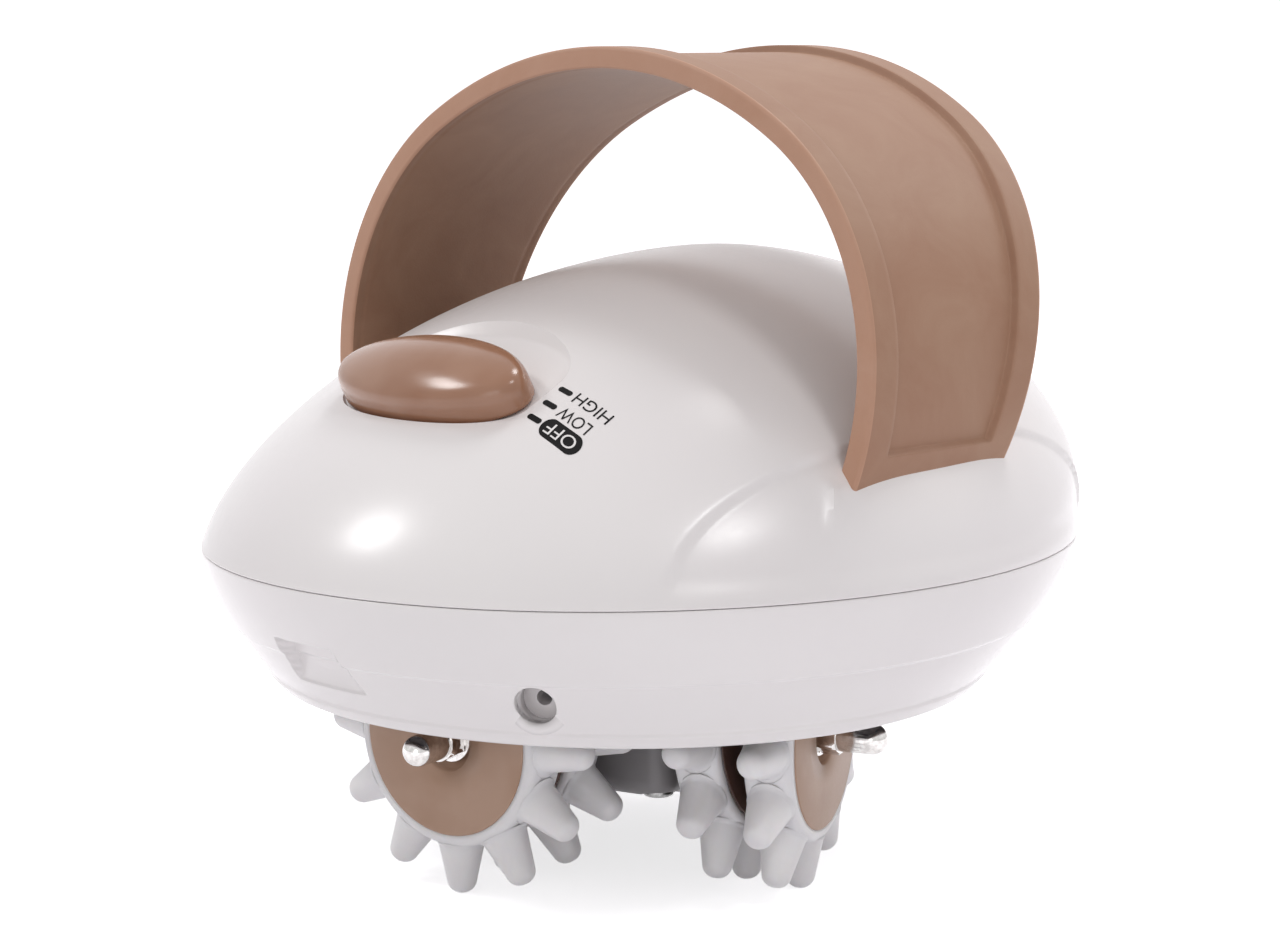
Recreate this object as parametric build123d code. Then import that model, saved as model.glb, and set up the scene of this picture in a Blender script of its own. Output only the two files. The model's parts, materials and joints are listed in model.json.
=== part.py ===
from build123d import *
import os
from math import atan, cos, degrees, pi, radians, sin, sqrt, tan

# A hand-held electric roller massager, in millimetres. It stands on its rollers: +Z up, the
# origin on the ground under the middle of the housing, the switch towards -Y, the strap
# across X. Four driven shafts leave a central worm gearbox like the arms of a pinwheel.

# Housing
seam_z = 56.0              # where the dome meets the lower band
seam_y = -0.6              # middle of the seam
body_width = 144.0
body_length = 160.0
dome_height = 49.0
dome_lean = 0.36           # how far the dome moves back for each millimetre up
dome_power = 1.8           # 2 is an ellipse, less is more pointed
wall = 2.4
rim_z = 32.0               # lower edge of the band
rim_width = 123.0
rim_length = 121.0
rim_y = -5.5
band_power = 1.56          # how the band curves in from the seam to the rim
ledge_width = 4.0
ledge_height = 2.0
notch_width = 15.0
notch_top = 46.2
notch_low = 38.4
notch_depth = 1.6          # under the notch's top edge

# Roller set
roller_y = -5.9
axle_z = 27.0
roller_turn = 17.0         # heading of the first shaft, degrees from +X
shaft_offset = 9.5         # each shaft line passes the worm's axis at this distance
shaft_r = 2.0
shaft_flat = 1.5
stub_r = 1.5
inner_wheel = 26.6         # along the shaft, from the worm's axis
outer_wheel = 39.0
wheel_skew = 7.0           # degrees off square to the shaft
inner_wheel_phase = 50.0   # the inner wheel's skew follows the outer one's by this turn
disc_r = 16.3
ring_r = 18.3
ring_width = 8.4
ring_round = 1.2
knobs = 12
knob_tip = 27.0            # from the wheel's centre to the end of a knob
knob_base_r = 3.7
knob_tip_r = 2.5
disc_proud = 0.2
disc_plate = 2.4
disc_rim = 2.0
boss_r = 4.5
inner_boss_end = 3.8
outer_boss_end = 2.8
nut_recess_r = 5.2
washer_r = 4.0
washer_thick = 0.8
nut_flats = 6.0
nut_hex = 3.8
nut_dome_r = 2.6
nut_height = 12.0
stub_length = 6.6

# Worm drive
worm_lead = 2.513
wheel_teeth = 15
worm_r = 4.3
worm_core_r = 2.4
worm_top = 7.4             # above the axle plane
worm_bottom = 6.6          # below it
thread_root = 1.5
thread_tip = 0.45
tooth_root = 1.45
tooth_tip = 0.5
tooth_gap = 0.25           # tooth end to worm core, thread end to wheel rim
worm_wheel_width = 4.0

# Motor
motor_r = 12.2
motor_z = 38.5
can_height = 23.5
cap_height = 4.0
can_wall = 1.0
armature_lift = 4.5         # above the can's floor
motor_boss_r = 3.0
motor_boss = 1.5
rotor_shaft_r = 1.0
armature_r = 8.6
armature_height = 14.0
magnet_thick = 2.1
magnet_lift = 3.5          # above the can's floor
magnet_height = 16.0
magnet_span = 130.0
commutator_r = 3.0

# Gearbox and chassis
hub_half = 18.3
hub_round = 4.0
hub_bottom = 14.0
hub_bottom_round = 3.0
motor_floor = 2.5
running_gap = 0.05         # radial, shaft in bush
fit_gap = 0.1              # radial, between parts that do not move on each other
part_gap = 0.5             # round things that turn
bush_r = 3.2
bush_length = 3.0
flange_r = 4.2
flange_thick = 0.8
inner_bush_start = -5.5
plate_thick = 2.5
plate_gap = 1.0
lug_r = 4.6
lug_height = 4.0
lug_reach = 52.0           # from the worm's axis to the housing screws
lug_heading = 36.0         # from a shaft's heading to the next housing screw
corner_screw = 14.6        # from the worm's axis to the gearbox screws, in both directions
motor_screw = 6.0

# Strap
strap_thick = 3.7
strap_half = 62.0          # inside, where the arch is widest
strap_waist_z = 87.0
strap_top_z = 136.2        # inside, over the middle
strap_blend = 31.0         # degrees of the top arc each side of the middle
strap_foot_z = 62.0
strap_lean = 0.206
strap_y = 1.2              # middle of the strap at the feet
strap_lean_z = 73.0
strap_foot_half = 18.4
strap_taper = 0.119        # growth of the half width for each millimetre up
strap_rim = 6.5
strap_recess = 0.8
recess_start_z = 79.0
slot_gap = 0.4
pin_r = 1.25
pin_z = 66.0
pin_overhang = 6.0
anchor_thick = 4.0
anchor_deep = 9.0

# Slide switch
switch_y = -49.3
switch_z = 86.0            # on the dome, where the middle of the button rests
switch_tilt = 29.0
button_length = 43.4       # across the housing
button_width = 18.4
button_rise = 6.6          # above the dome
button_skirt = 2.6
recess_depth = 2.8
recess_floor = 2.2
slide_travel = 7.6
slide_gap = 0.4
stem_length = 6.0
stem_width = 3.0
switch_size = (20.0, 16.0, 6.0)
lever_size = (3.0, 2.4)
board_size = (34.0, 28.0, 1.6)
board_post = 2.0

# DC socket
socket_heading = -56.4     # degrees from +X, about the roller set's axis
socket_z = 39.8
socket_hole_r = 3.3
socket_bore_r = 1.25
socket_depth = 8.0
socket_shoulder = 0.375 * body_length      # from the roller set's axis
socket_body = (9.5, 9.0, 9.0)
socket_boss_r = 5.2

# Screws: shank radius, head radius, head height, length under the head
shell_screw = (1.5, 3.0, 2.2, 14.0)
chassis_screw = (1.5, 2.8, 2.0, 10.0)
gearbox_screw = (1.5, 2.7, 2.2, 18.0)
motor_screw_size = (1.25, 2.2, 1.6, 4.6)
head_gap = 0.2

worm_gear_r = wheel_teeth * worm_lead / (2 * pi)
wheel_tip_r = shaft_offset - worm_core_r - tooth_gap
wheel_root_r = shaft_offset - worm_r - tooth_gap
lead_angle = degrees(atan(worm_lead / (2 * pi * (shaft_offset - worm_gear_r))))
plate_z = seam_z
column_top = plate_z
gear_pocket_r = wheel_tip_r + part_gap
gear_pocket_top = axle_z + worm_top + 1.5
rest = Pos(0, roller_y, axle_z) * Rot(0, 0, roller_turn)


def box(x0, x1, y0, y1, z0, z1):
    """Solid box between the given faces."""
    return Pos((x0 + x1) / 2, (y0 + y1) / 2, (z0 + z1) / 2) * Box(x1 - x0, y1 - y0, z1 - z0)


def rod(radius, z0, z1, x=0.0, y=0.0):
    """Upright cylinder from z0 to z1."""
    return Pos(x, y, (z0 + z1) / 2) * Cylinder(radius, z1 - z0)


def bar(radius, s0, s1):
    """Cylinder along X from s0 to s1."""
    return Pos((s0 + s1) / 2, 0, 0) * Rot(0, 90, 0) * Cylinder(radius, s1 - s0)


def tube(outer, inner, s0, s1):
    return bar(outer, s0, s1) - bar(inner, s0, s1)


def arm(i):
    """Frame of shaft i: X outwards along the shaft, origin beside the worm's axis."""
    return rest * Rot(0, 0, 90 * i) * Pos(0, -shaft_offset, 0)


def group(solids):
    return Compound(children=list(solids))


# ---- Housing ----

def dome(inset):
    """Leaning half egg over the seam plane, its surface moved in by inset."""
    height = dome_height - inset
    power = 2 / dome_power
    turns = [pi / 2 * k / 10 for k in range(11)]
    outline = Spline([(height * cos(q) ** power, 0, height * sin(q) ** power) for q in turns[:-1]]
                     + [(0, 0, height)], tangents=[(0, 0, 1), (-1, 0, 0)])
    edges = [outline, Line((0, 0, height), (0, 0, 0)), Line((0, 0, 0), (height, 0, 0))]
    half = revolve(make_face(edges), Axis.Z)
    stretch = Matrix([[(body_width / 2 - inset) / height, 0, 0, 0],
                      [0, (body_length / 2 - inset) / height, dome_lean, 0],
                      [0, 0, 1, 0]])
    return Pos(0, seam_y, seam_z) * half.transform_geometry(stretch)


def band_ellipse(z):
    """Half width, half length and middle of the lower band at a height."""
    blend = ((seam_z - z) / (seam_z - rim_z)) ** band_power
    half_x = (body_width * (1 - blend) + rim_width * blend) / 2
    half_y = (body_length * (1 - blend) + rim_length * blend) / 2
    return half_x, half_y, seam_y + (rim_y - seam_y) * blend


def band(inset):
    """Lower half of the housing as a full solid, its surface moved in by inset."""
    slices = []
    steps = 4
    for k in range(steps + 1):
        z = seam_z + (rim_z - seam_z) * k / steps
        half_x, half_y, middle = band_ellipse(z)
        slices.append(Plane.XY.offset(z) * Pos(0, middle) * Ellipse(half_x - inset, half_y - inset))
    return loft(slices)


def lug_frames():
    """X outwards through each housing screw, origin on the worm's axis."""
    return [Pos(0, roller_y, 0) * Rot(0, 0, roller_turn + lug_heading + 90 * i) for i in range(4)]


def switch_frame():
    """X across the housing, Y up the slope, Z out of the dome."""
    return Pos(0, switch_y, switch_z) * Rot(switch_tilt, 0, 0)


def button_outline(grow, travel):
    """Ellipse of the button, swept up the slope by its travel."""
    long_r = button_length / 2 + grow
    short_r = button_width / 2 + grow
    if not travel:
        return Ellipse(long_r, short_r)
    return make_face([EllipticalCenterArc((0, 0), long_r, short_r, 180, arc_size=180),
                      Line((long_r, 0), (long_r, travel)),
                      EllipticalCenterArc((0, travel), long_r, short_r, 0, arc_size=180),
                      Line((-long_r, travel), (-long_r, 0))])


def upper_shell():
    outer = dome(0)
    shell = outer - dome(wall)
    top_z = seam_z + dome_height
    posts = [f * rod(lug_r, plate_z + plate_thick, top_z, lug_reach) for f in lug_frames()]
    blocks = []
    for side in (-1, 1):
        for end in (-1, 1):
            near = strap_y + end * (strap_foot_half + slot_gap)
            far = near + end * anchor_thick
            leg = side * strap_leg_x(pin_z)
            blocks.append(box(leg - anchor_deep / 2, leg + anchor_deep / 2, min(near, far),
                              max(near, far), pin_z - anchor_deep / 3, top_z))
    pad = switch_frame() * Pos(0, 0, -recess_depth - recess_floor) * extrude(
        button_outline(wall, slide_travel), recess_depth + recess_floor)
    inside = [piece & outer for piece in posts + blocks + [pad] + board_posts()]
    for piece in inside:
        shell = shell + piece
    recess = switch_frame() * Pos(0, 0, -recess_depth) * extrude(
        button_outline(slide_gap, slide_travel), 4 * recess_depth)
    stem_slot = switch_frame() * box(-stem_length / 2 - slide_gap, stem_length / 2 + slide_gap,
                                     -stem_width / 2 - slide_gap,
                                     slide_travel + stem_width / 2 + slide_gap,
                                     -recess_depth - recess_floor - 1, 0)
    shell = shell - recess - stem_slot
    shell = shell - strap_body(slot_gap) - pins(fit_gap)
    screw_top = seam_z + shell_screw[3] - lug_height
    for frame in lug_frames():
        shell = shell - frame * rod(shell_screw[0], seam_z, screw_top, lug_reach)
    return shell


def lower_shell():
    outer = band(0)
    shell = outer - band(wall)
    ledge = box(-body_width, body_width, -body_length, body_length, seam_z - ledge_height, seam_z)
    inset = wall + ledge_width
    inner_edge = Pos(0, seam_y) * Ellipse(body_width / 2 - inset, body_length / 2 - inset)
    opening = extrude(Plane.XY.offset(seam_z - 2 * ledge_height) * inner_edge, 4 * ledge_height)
    shell = shell + (outer & (ledge - opening))
    for frame in lug_frames():
        low = seam_z - lug_height
        tab = rod(lug_r, low, seam_z, lug_reach)
        tab = tab + box(lug_reach, body_length, -lug_r, lug_r, low, seam_z)
        shell = shell + (outer & frame * tab)
    frame = socket_frame()
    boss = frame * bar(socket_boss_r, socket_shoulder, body_length)
    shell = shell + (boss & outer)
    shell = shell - frame * bar(socket_hole_r, socket_shoulder - 1, body_length)
    for turned in lug_frames():
        shell = shell - turned * rod(shell_screw[0] + fit_gap, rim_z, seam_z + 1, lug_reach)
    return shell - notch()


def band_front(z):
    half_x, half_y, middle = band_ellipse(z)
    return middle - half_y


def notch():
    """Thumb scoop in the front: deepest under its top edge, running out at the bottom."""
    high = band_front(notch_top) + notch_depth
    low = band_front(notch_low)
    side = Plane.YZ * make_face(Polyline((low, notch_low), (high, notch_top),
                                         (-body_length, notch_top), (-body_length, notch_low),
                                         (low, notch_low)))
    return extrude(side, notch_width / 2, both=True)


# ---- Strap ----

def strap_arcs(offset):
    """Arch of the strap in the XZ plane, offset outwards from its inner face."""
    turn = radians(strap_blend)
    span = (strap_top_z - strap_half - strap_waist_z) / (1 - sin(turn) - cos(turn))
    side_r = strap_half - span * sin(turn)
    top_r = side_r + span
    top_centre = strap_top_z - top_r
    side_x = span * sin(turn)
    dip = strap_waist_z - strap_foot_z
    return top_r + offset, top_centre, side_r + offset, side_x, turn, dip


def arch_face(offset):
    """Everything under the arch, down to the ends of the strap."""
    top_r, top_centre, side_r, side_x, turn, dip = strap_arcs(offset)
    join = (top_r * sin(turn), top_centre + top_r * cos(turn))
    foot_x = side_x + sqrt(side_r ** 2 - dip ** 2)
    shoulder = (side_x + side_r * cos(radians(20)), strap_waist_z + side_r * sin(radians(20)))
    top = (0, top_centre + top_r)
    left = lambda p: (-p[0], p[1])
    edges = [ThreePointArc(left(join), top, join),
             ThreePointArc(join, shoulder, (foot_x, strap_foot_z)),
             Line((foot_x, strap_foot_z), (-foot_x, strap_foot_z)),
             ThreePointArc((-foot_x, strap_foot_z), left(shoulder), left(join))]
    return Plane.XZ * make_face(edges)


def strap_leg_x(z):
    """Middle of the strap's thickness on the +X side at height z, under the waist."""
    side_r, side_x = strap_arcs(strap_thick / 2)[2:4]
    return side_x + sqrt(side_r ** 2 - (strap_waist_z - z) ** 2)


def strap_side(grow, z0):
    """The strap seen along X: a leaning band that widens upwards."""
    top_z = strap_top_z + 3 * strap_thick

    def edge(z, end):
        half = strap_foot_half + strap_taper * (z - strap_lean_z) + grow
        if z < strap_lean_z:
            half = strap_foot_half + grow
        return strap_y + strap_lean * (z - strap_lean_z) * (z > strap_lean_z) + end * half

    heights = sorted({z0, max(z0, strap_lean_z), top_z})
    points = [(edge(z, 1), z) for z in heights] + [(edge(z, -1), z) for z in reversed(heights)]
    face = Plane.YZ * make_face(Polyline(points + points[:1]))
    return extrude(face, body_width, both=True)


def strap_body(grow):
    """The strap as one thickness of arch, all faces moved out by grow."""
    arch = extrude(arch_face(strap_thick + grow), body_length, both=True)
    hollow = extrude(arch_face(-grow), body_length, both=True)
    foot = box(-body_width, body_width, -body_length, body_length,
               strap_foot_z - 1, strap_foot_z)
    return (arch - hollow - foot) & strap_side(grow, strap_foot_z)


def handle_strap():
    strap = strap_body(0)
    outer = extrude(arch_face(2 * strap_thick), body_length, both=True)
    core = extrude(arch_face(strap_thick - strap_recess), body_length, both=True)
    panel = (outer - core) & strap_side(-strap_rim, recess_start_z)
    return strap - panel - pins(fit_gap)


def pins(grow):
    """Cross pins that hold the strap's ends under the dome."""
    half = strap_foot_half + slot_gap + pin_overhang / 2 + grow
    turned = [Pos(side * strap_leg_x(pin_z), strap_y, pin_z) * Rot(90, 0, 0)
              * Cylinder(pin_r + grow, 2 * half) for side in (-1, 1)]
    return group(turned)


# ---- Slide switch ----

def slide_button():
    """Pebble with a straight skirt, and a stem that reaches the switch's lever."""
    half = button_width / 2
    rise = recess_depth + button_rise - slide_gap - button_skirt
    profile = [Line((0, 0), (half, 0)), Line((half, 0), (half, button_skirt)),
               EllipticalCenterArc((0, button_skirt), half, rise, 0, arc_size=90),
               Line((0, button_skirt + rise), (0, 0))]
    pebble = revolve(Plane.XZ * make_face(profile), Axis.Z)
    stretch = Matrix([[button_length / button_width, 0, 0, 0], [0, 1, 0, 0], [0, 0, 1, 0]])
    body = Pos(0, 0, -recess_depth + slide_gap) * pebble.transform_geometry(stretch)
    bottom = -recess_depth - recess_floor - board_post
    stem = box(-stem_length / 2, stem_length / 2, -stem_width / 2, stem_width / 2,
               bottom, -recess_depth + slide_gap)
    socket = box(-lever_size[0] / 2 - fit_gap, lever_size[0] / 2 + fit_gap,
                 -stem_width, stem_width, bottom, bottom + lever_size[1] + fit_gap)
    return switch_frame() * (body + (stem - socket))


def lever_bottom():
    return -recess_depth - recess_floor - board_post


def switch_body():
    """Slide switch with a slot for its lever, soldered to the board."""
    wide, long, tall = switch_size
    top = lever_bottom() - slide_gap
    middle = slide_travel / 2
    body = box(-wide / 2, wide / 2, middle - long / 2, middle + long / 2, top - tall, top)
    half = lever_size[0] / 2 + slide_gap
    slot = box(-half, half, -lever_size[0] / 2 - slide_gap,
               slide_travel + lever_size[0] / 2 + slide_gap, top - tall / 2, top + 1)
    return switch_frame() * (body - slot)


def switch_lever():
    half = lever_size[0] / 2
    top = lever_bottom() + lever_size[1]
    low = lever_bottom() - slide_gap - switch_size[2] / 2 + fit_gap
    return switch_frame() * box(-half, half, -half, half, low, top)


def board_top():
    return lever_bottom() - slide_gap - switch_size[2]


def board_spots():
    middle = slide_travel / 2
    reach = board_size[0] / 2 - 2 * board_post
    return [(side * reach, middle) for side in (-1, 1)]


def board_posts():
    """Two posts from the dome that carry the circuit board on a spigot each."""
    posts = []
    for x, y in board_spots():
        posts.append(switch_frame() * (rod(board_post, board_top(), 0, x, y)
                                       + rod(board_post / 2, board_top() - 2.5, 0, x, y)))
    return posts


def circuit_board():
    wide, long, thick = board_size
    middle = slide_travel / 2
    board = box(-wide / 2, wide / 2, middle - long / 2, middle + long / 2,
                board_top() - thick, board_top())
    for x, y in board_spots():
        board = board - rod(board_post / 2 + fit_gap, board_top() - thick, board_top(), x, y)
    return switch_frame() * board


# ---- DC socket ----

def socket_frame():
    """X outwards through the socket's hole."""
    return Pos(0, rim_y, socket_z) * Rot(0, 0, socket_heading)


def dc_socket():
    deep, wide, tall = socket_body
    mouth = socket_shoulder
    body = box(mouth - deep, mouth, -wide / 2, wide / 2, -tall / 2, tall / 2)
    return socket_frame() * (body - bar(socket_bore_r, mouth - socket_depth, mouth))


# ---- Rollers ----

def wheel_frame(s, phase, skew):
    return Pos(s, 0, 0) * Rot(phase, 0, 0) * Rot(0, 0, skew) * Rot(-phase, 0, 0)


def roller_ring():
    """Soft tyre with blunt conical knobs, about the X axis, one knob straight down."""
    section = Plane.XZ * Pos(0, (disc_r + ring_r) / 2) * Rectangle(ring_width, ring_r - disc_r)
    ring = revolve(section, Axis.X)
    outer_edges = ring.edges().filter_by(GeomType.CIRCLE).sort_by(lambda e: e.radius)[-2:]
    ring = fillet(outer_edges, ring_round)
    root = ring_r - 1.0
    tip = knob_tip - knob_tip_r
    outline = [Line((0, root), (knob_base_r, root)), Line((knob_base_r, root), (knob_tip_r, tip)),
               ThreePointArc((knob_tip_r, tip), (knob_tip_r * sin(pi / 4),
                             tip + knob_tip_r * cos(pi / 4)), (0, knob_tip)),
               Line((0, knob_tip), (0, root))]
    knob = revolve(Plane.XZ * make_face(outline), Axis.Z)
    for k in range(knobs):
        ring = ring + Rot(180 + 360 / knobs * k, 0, 0) * knob
    return ring


def roller_disc(s, phase, skew, boss_end, recess_r):
    """Cup-shaped disc, skewed on a boss that stays square to the shaft."""
    face = ring_width / 2 + disc_proud
    cup = bar(disc_r, -ring_width / 2, face)
    cup = cup - bar(disc_r - disc_rim, -ring_width, face - disc_plate)
    disc = wheel_frame(s, phase, skew) * cup
    disc = disc + bar(boss_r, s - ring_width / 2, s + boss_end)
    disc = disc - bar(recess_r, s + boss_end, s + ring_width)
    return disc - flatted(running_gap, s - ring_width, s + ring_width)


def flatted(grow, s0, s1):
    """Shaft with a flat, or the hole for it."""
    flat = box(s0 - 1, s1 + 1, -shaft_r * 2, shaft_r * 2, shaft_flat + grow, shaft_r * 2)
    return bar(shaft_r + grow, s0, s1) - flat


def roller_shaft():
    end = outer_wheel + outer_boss_end
    start = inner_bush_start - 0.3
    gear_half = worm_wheel_width / 2
    shaft = bar(shaft_r, start, end) + bar(stub_r, end, end + stub_length)
    flat = box(-gear_half, gear_half, -shaft_r * 2, shaft_r * 2, shaft_flat, shaft_r * 2)
    seat = box(inner_wheel - ring_width / 2, end, -shaft_r * 2, shaft_r * 2, shaft_flat,
               shaft_r * 2)
    return shaft - flat - seat


def spacers():
    inner = tube(boss_r - 1, shaft_r + running_gap, hub_half + flange_thick + fit_gap,
                 inner_wheel - ring_width / 2)
    outer = tube(boss_r - 1, shaft_r + running_gap, inner_wheel + inner_boss_end,
                 outer_wheel - ring_width / 2)
    return group([inner, outer])


def washer():
    start = outer_wheel + outer_boss_end
    return tube(washer_r, stub_r + running_gap, start, start + washer_thick)


def cap_nut():
    """Acorn nut with a blind hole for the shaft's end."""
    start = outer_wheel + outer_boss_end + washer_thick
    across = nut_flats / 2 / cos(pi / 6)
    hexagon = Plane.YZ.offset(start) * RegularPolygon(across, 6)
    nut = extrude(hexagon, nut_hex)
    dome_s = start + nut_height - nut_dome_r
    nut = nut + bar(nut_dome_r, start, dome_s) + Pos(dome_s, 0, 0) * Sphere(nut_dome_r)
    return nut - bar(stub_r + running_gap, start, start + stub_length - washer_thick + fit_gap)


# ---- Worm drive ----

def worm_section():
    """Cut square to the worm: core circle, tip arc and two flanks of even slope."""
    widths = [(worm_core_r, thread_root), (worm_r, thread_tip)]
    steps = 6
    flank = []
    for k in range(steps + 1):
        share = k / steps
        radius = widths[1][0] + (widths[0][0] - widths[1][0]) * share
        turn = pi / worm_lead * (widths[1][1] + (widths[0][1] - widths[1][1]) * share)
        flank.append((radius * cos(turn), radius * sin(turn)))
    other = [(x, -y) for x, y in reversed(flank)]
    edges = [Spline(flank), ThreePointArc(flank[-1], (-worm_core_r, 0), other[0]),
             Spline(other), ThreePointArc(other[-1], (worm_r, 0), flank[0])]
    return make_face(edges).face()


def worm():
    """Single right-hand thread that crosses the axle plane at the second shaft's wheel."""
    height = worm_top + worm_bottom
    turns = height / worm_lead
    thread = Solid.extrude_linear_with_rotation(worm_section(), (0, 0, 0), (0, 0, height),
                                                360 * turns)
    body = Pos(0, 0, -worm_bottom) * Rot(0, 0, -360 * worm_bottom / worm_lead) * thread
    return rest * (body - rod(rotor_shaft_r, -worm_bottom - 1, worm_top + 1))


def worm_wheel(i):
    """Fifteen teeth that lean with the thread; the tooth gaps meet it at rest."""
    half = worm_wheel_width / 2
    gear = bar(wheel_root_r, -half, half)
    climb = tan(radians(lead_angle)) * worm_wheel_width
    root = wheel_root_r - 0.3
    points = [(root, -tooth_root / 2), (wheel_tip_r, -tooth_tip / 2), (wheel_tip_r, tooth_tip / 2),
              (root, tooth_root / 2)]
    section = Plane.YZ * make_face(Polyline(points + points[:1]))
    tooth = extrude(Pos(-half, 0, -climb / 2) * section, dir=(worm_wheel_width, 0, climb),
                    amount=sqrt(worm_wheel_width ** 2 + climb ** 2))
    pitch = 360 / wheel_teeth
    first = pitch / 2 + pitch / 4 * (i - 1)
    for k in range(wheel_teeth):
        gear = gear + Rot(first + pitch * k, 0, 0) * tooth
    return gear - flatted(running_gap, -half - 1, half + 1)


def motor_rotor():
    low = rod(rotor_shaft_r, hub_bottom + 2, motor_z + can_height + cap_height + 1)
    foot = motor_z + armature_lift
    armature = rod(armature_r, foot, foot + armature_height)
    commutator = rod(commutator_r, foot + armature_height, motor_z + can_height - part_gap)
    return worm_axis() * (low + armature + commutator)


def worm_axis():
    return Pos(0, roller_y, 0) * Rot(0, 0, roller_turn)


def motor_can():
    can = rod(motor_r, motor_z, motor_z + can_height)
    can = can - rod(motor_r - can_wall, motor_z + can_wall, motor_z + can_height)
    can = can + rod(motor_boss_r, motor_z - motor_boss, motor_z + can_wall)
    can = can - rod(rotor_shaft_r + running_gap, motor_z - 2 * motor_boss, motor_z + 2 * can_wall)
    for side in (-1, 1):
        can = can - rod(motor_screw_size[0], motor_z - 1, motor_z + 2 * can_wall,
                        side * motor_screw, side * motor_screw)
    return worm_axis() * can


def motor_magnets():
    outer = motor_r - can_wall
    foot = motor_z + magnet_lift
    ring = rod(outer, foot, foot + magnet_height)
    ring = ring - rod(outer - magnet_thick, motor_z, motor_z + can_height)
    halves = []
    for side in (0, 180):
        wedge = extrude(Plane.XY.offset(motor_z) * make_face(Polyline(
            (0, 0), (2 * outer, -2 * outer / tan(radians(magnet_span / 2))),
            (2 * outer, 2 * outer / tan(radians(magnet_span / 2))), (0, 0))), seam_z)
        halves.append(worm_axis() * Rot(0, 0, side) * (ring & wedge))
    return group(halves)


def motor_end_cap():
    low = motor_z + can_height
    cap = rod(motor_r, low, low + cap_height)
    return worm_axis() * (cap - rod(rotor_shaft_r + running_gap, low - 1, low + cap_height + 1))


def gear_space():
    """Room for the worm, its wheels, shafts and bushes, in the turned roller frame."""
    half = worm_wheel_width / 2 + part_gap
    space = rod(worm_r + part_gap, -worm_bottom - 1, gear_pocket_top - axle_z)
    for i in range(4):
        place = Rot(0, 0, 90 * i) * Pos(0, -shaft_offset, 0)
        start = inner_bush_start
        space = space + place * bar(gear_pocket_r, -half, half)
        space = space + place * bar(shaft_r + 0.3, start - 0.6, hub_half + 1)
        space = space + place * bar(bush_r, start, start + bush_length)
        space = space + place * bar(bush_r, hub_half - bush_length, hub_half + 1)
    return space


def hub_block(z0, z1):
    size = 2 * hub_half
    block = extrude(Plane.XY.offset(z0) * RectangleRounded(size, size, hub_round), z1 - z0)
    return block


def corner_spots():
    return [(sx * corner_screw, sy * corner_screw) for sx in (-1, 1) for sy in (-1, 1)]


def gearbox_upper():
    """Column that carries the motor over the worm, cut open at the shafts' plane."""
    block = hub_block(0, column_top - axle_z)
    floor_z = motor_z - axle_z
    block = block - rod(motor_r + fit_gap, floor_z, column_top - axle_z)
    block = block - rod(motor_boss_r + fit_gap, 0, floor_z)
    for side in (-1, 1):
        x = side * motor_screw
        block = block - rod(motor_screw_size[0] + fit_gap, 0, floor_z, x, x)
        block = block - rod(motor_screw_size[1] + head_gap, 0, floor_z - motor_floor, x, x)
    deep = gearbox_screw[3] - (axle_z - hub_bottom - gearbox_screw[2])
    for x, y in corner_spots():
        block = block - rod(gearbox_screw[0], 0, deep, x, y)
        block = block - rod(chassis_screw[0], column_top - axle_z - chassis_screw[3] + plate_thick,
                            column_top - axle_z, x, y)
    return rest * (block - gear_space())


def gearbox_lower():
    block = hub_block(hub_bottom - axle_z, 0)
    block = fillet(block.faces().sort_by(Axis.Z)[0].edges(), hub_bottom_round)
    low = hub_bottom - axle_z
    block = block - rod(rotor_shaft_r + running_gap, low + 2 - fit_gap, 0)
    for x, y in corner_spots():
        block = block - rod(gearbox_screw[0] + fit_gap, low, 0, x, y)
        block = block - rod(gearbox_screw[1] + head_gap, low, low + gearbox_screw[2], x, y)
    return rest * (block - gear_space())


def outer_bushes():
    start = hub_half - bush_length
    bushes = []
    for i in range(4):
        bush = tube(bush_r, shaft_r + running_gap, start, hub_half)
        bush = bush + tube(flange_r, shaft_r + running_gap, hub_half, hub_half + flange_thick)
        bushes.append(arm(i) * bush)
    return group(bushes)


def inner_bushes():
    end = inner_bush_start + bush_length
    return group(arm(i) * tube(bush_r, shaft_r + running_gap, inner_bush_start, end)
                 for i in range(4))


def chassis_plate():
    """Flat plate that carries the gearbox column and closes the roller well."""
    half_x = body_width / 2 - wall - plate_gap
    half_y = body_length / 2 - wall - plate_gap - dome_lean * plate_thick
    outline = Pos(0, seam_y) * Ellipse(half_x, half_y)
    plate = extrude(Plane.XY.offset(plate_z) * outline, plate_thick)
    top = plate_z + plate_thick
    plate = plate - worm_axis() * rod(motor_r + part_gap, plate_z, top)
    for x, y in corner_spots():
        plate = plate - worm_axis() * rod(chassis_screw[0] + fit_gap, plate_z, top, x, y)
    for frame in lug_frames():
        plate = plate - frame * rod(shell_screw[0] + fit_gap, plate_z, top, lug_reach)
    return plate


# ---- Screws ----

def screw(size, x, y, z):
    """Pan-head screw pointing down, the underside of its head at z."""
    shank_r, head_r, head, length = size
    top = fillet(rod(head_r, z, z + head, x, y).edges().sort_by(Axis.Z)[-1], head / 3)
    slot = box(x - head_r, x + head_r, y - 0.4, y + 0.4, z + head * 0.6, z + head + 1)
    return top + rod(shank_r, z - length, z, x, y) - slot


def upward(piece, z):
    """The same screw turned over about height z, to point up."""
    return Pos(0, 0, z) * Rot(180, 0, 0) * Pos(0, 0, -z) * piece


def shell_screws():
    z = seam_z - lug_height
    return group(f * upward(screw(shell_screw, lug_reach, 0, z), z) for f in lug_frames())


def chassis_screws():
    z = plate_z + plate_thick
    return group(worm_axis() * screw(chassis_screw, x, y, z) for x, y in corner_spots())


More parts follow.
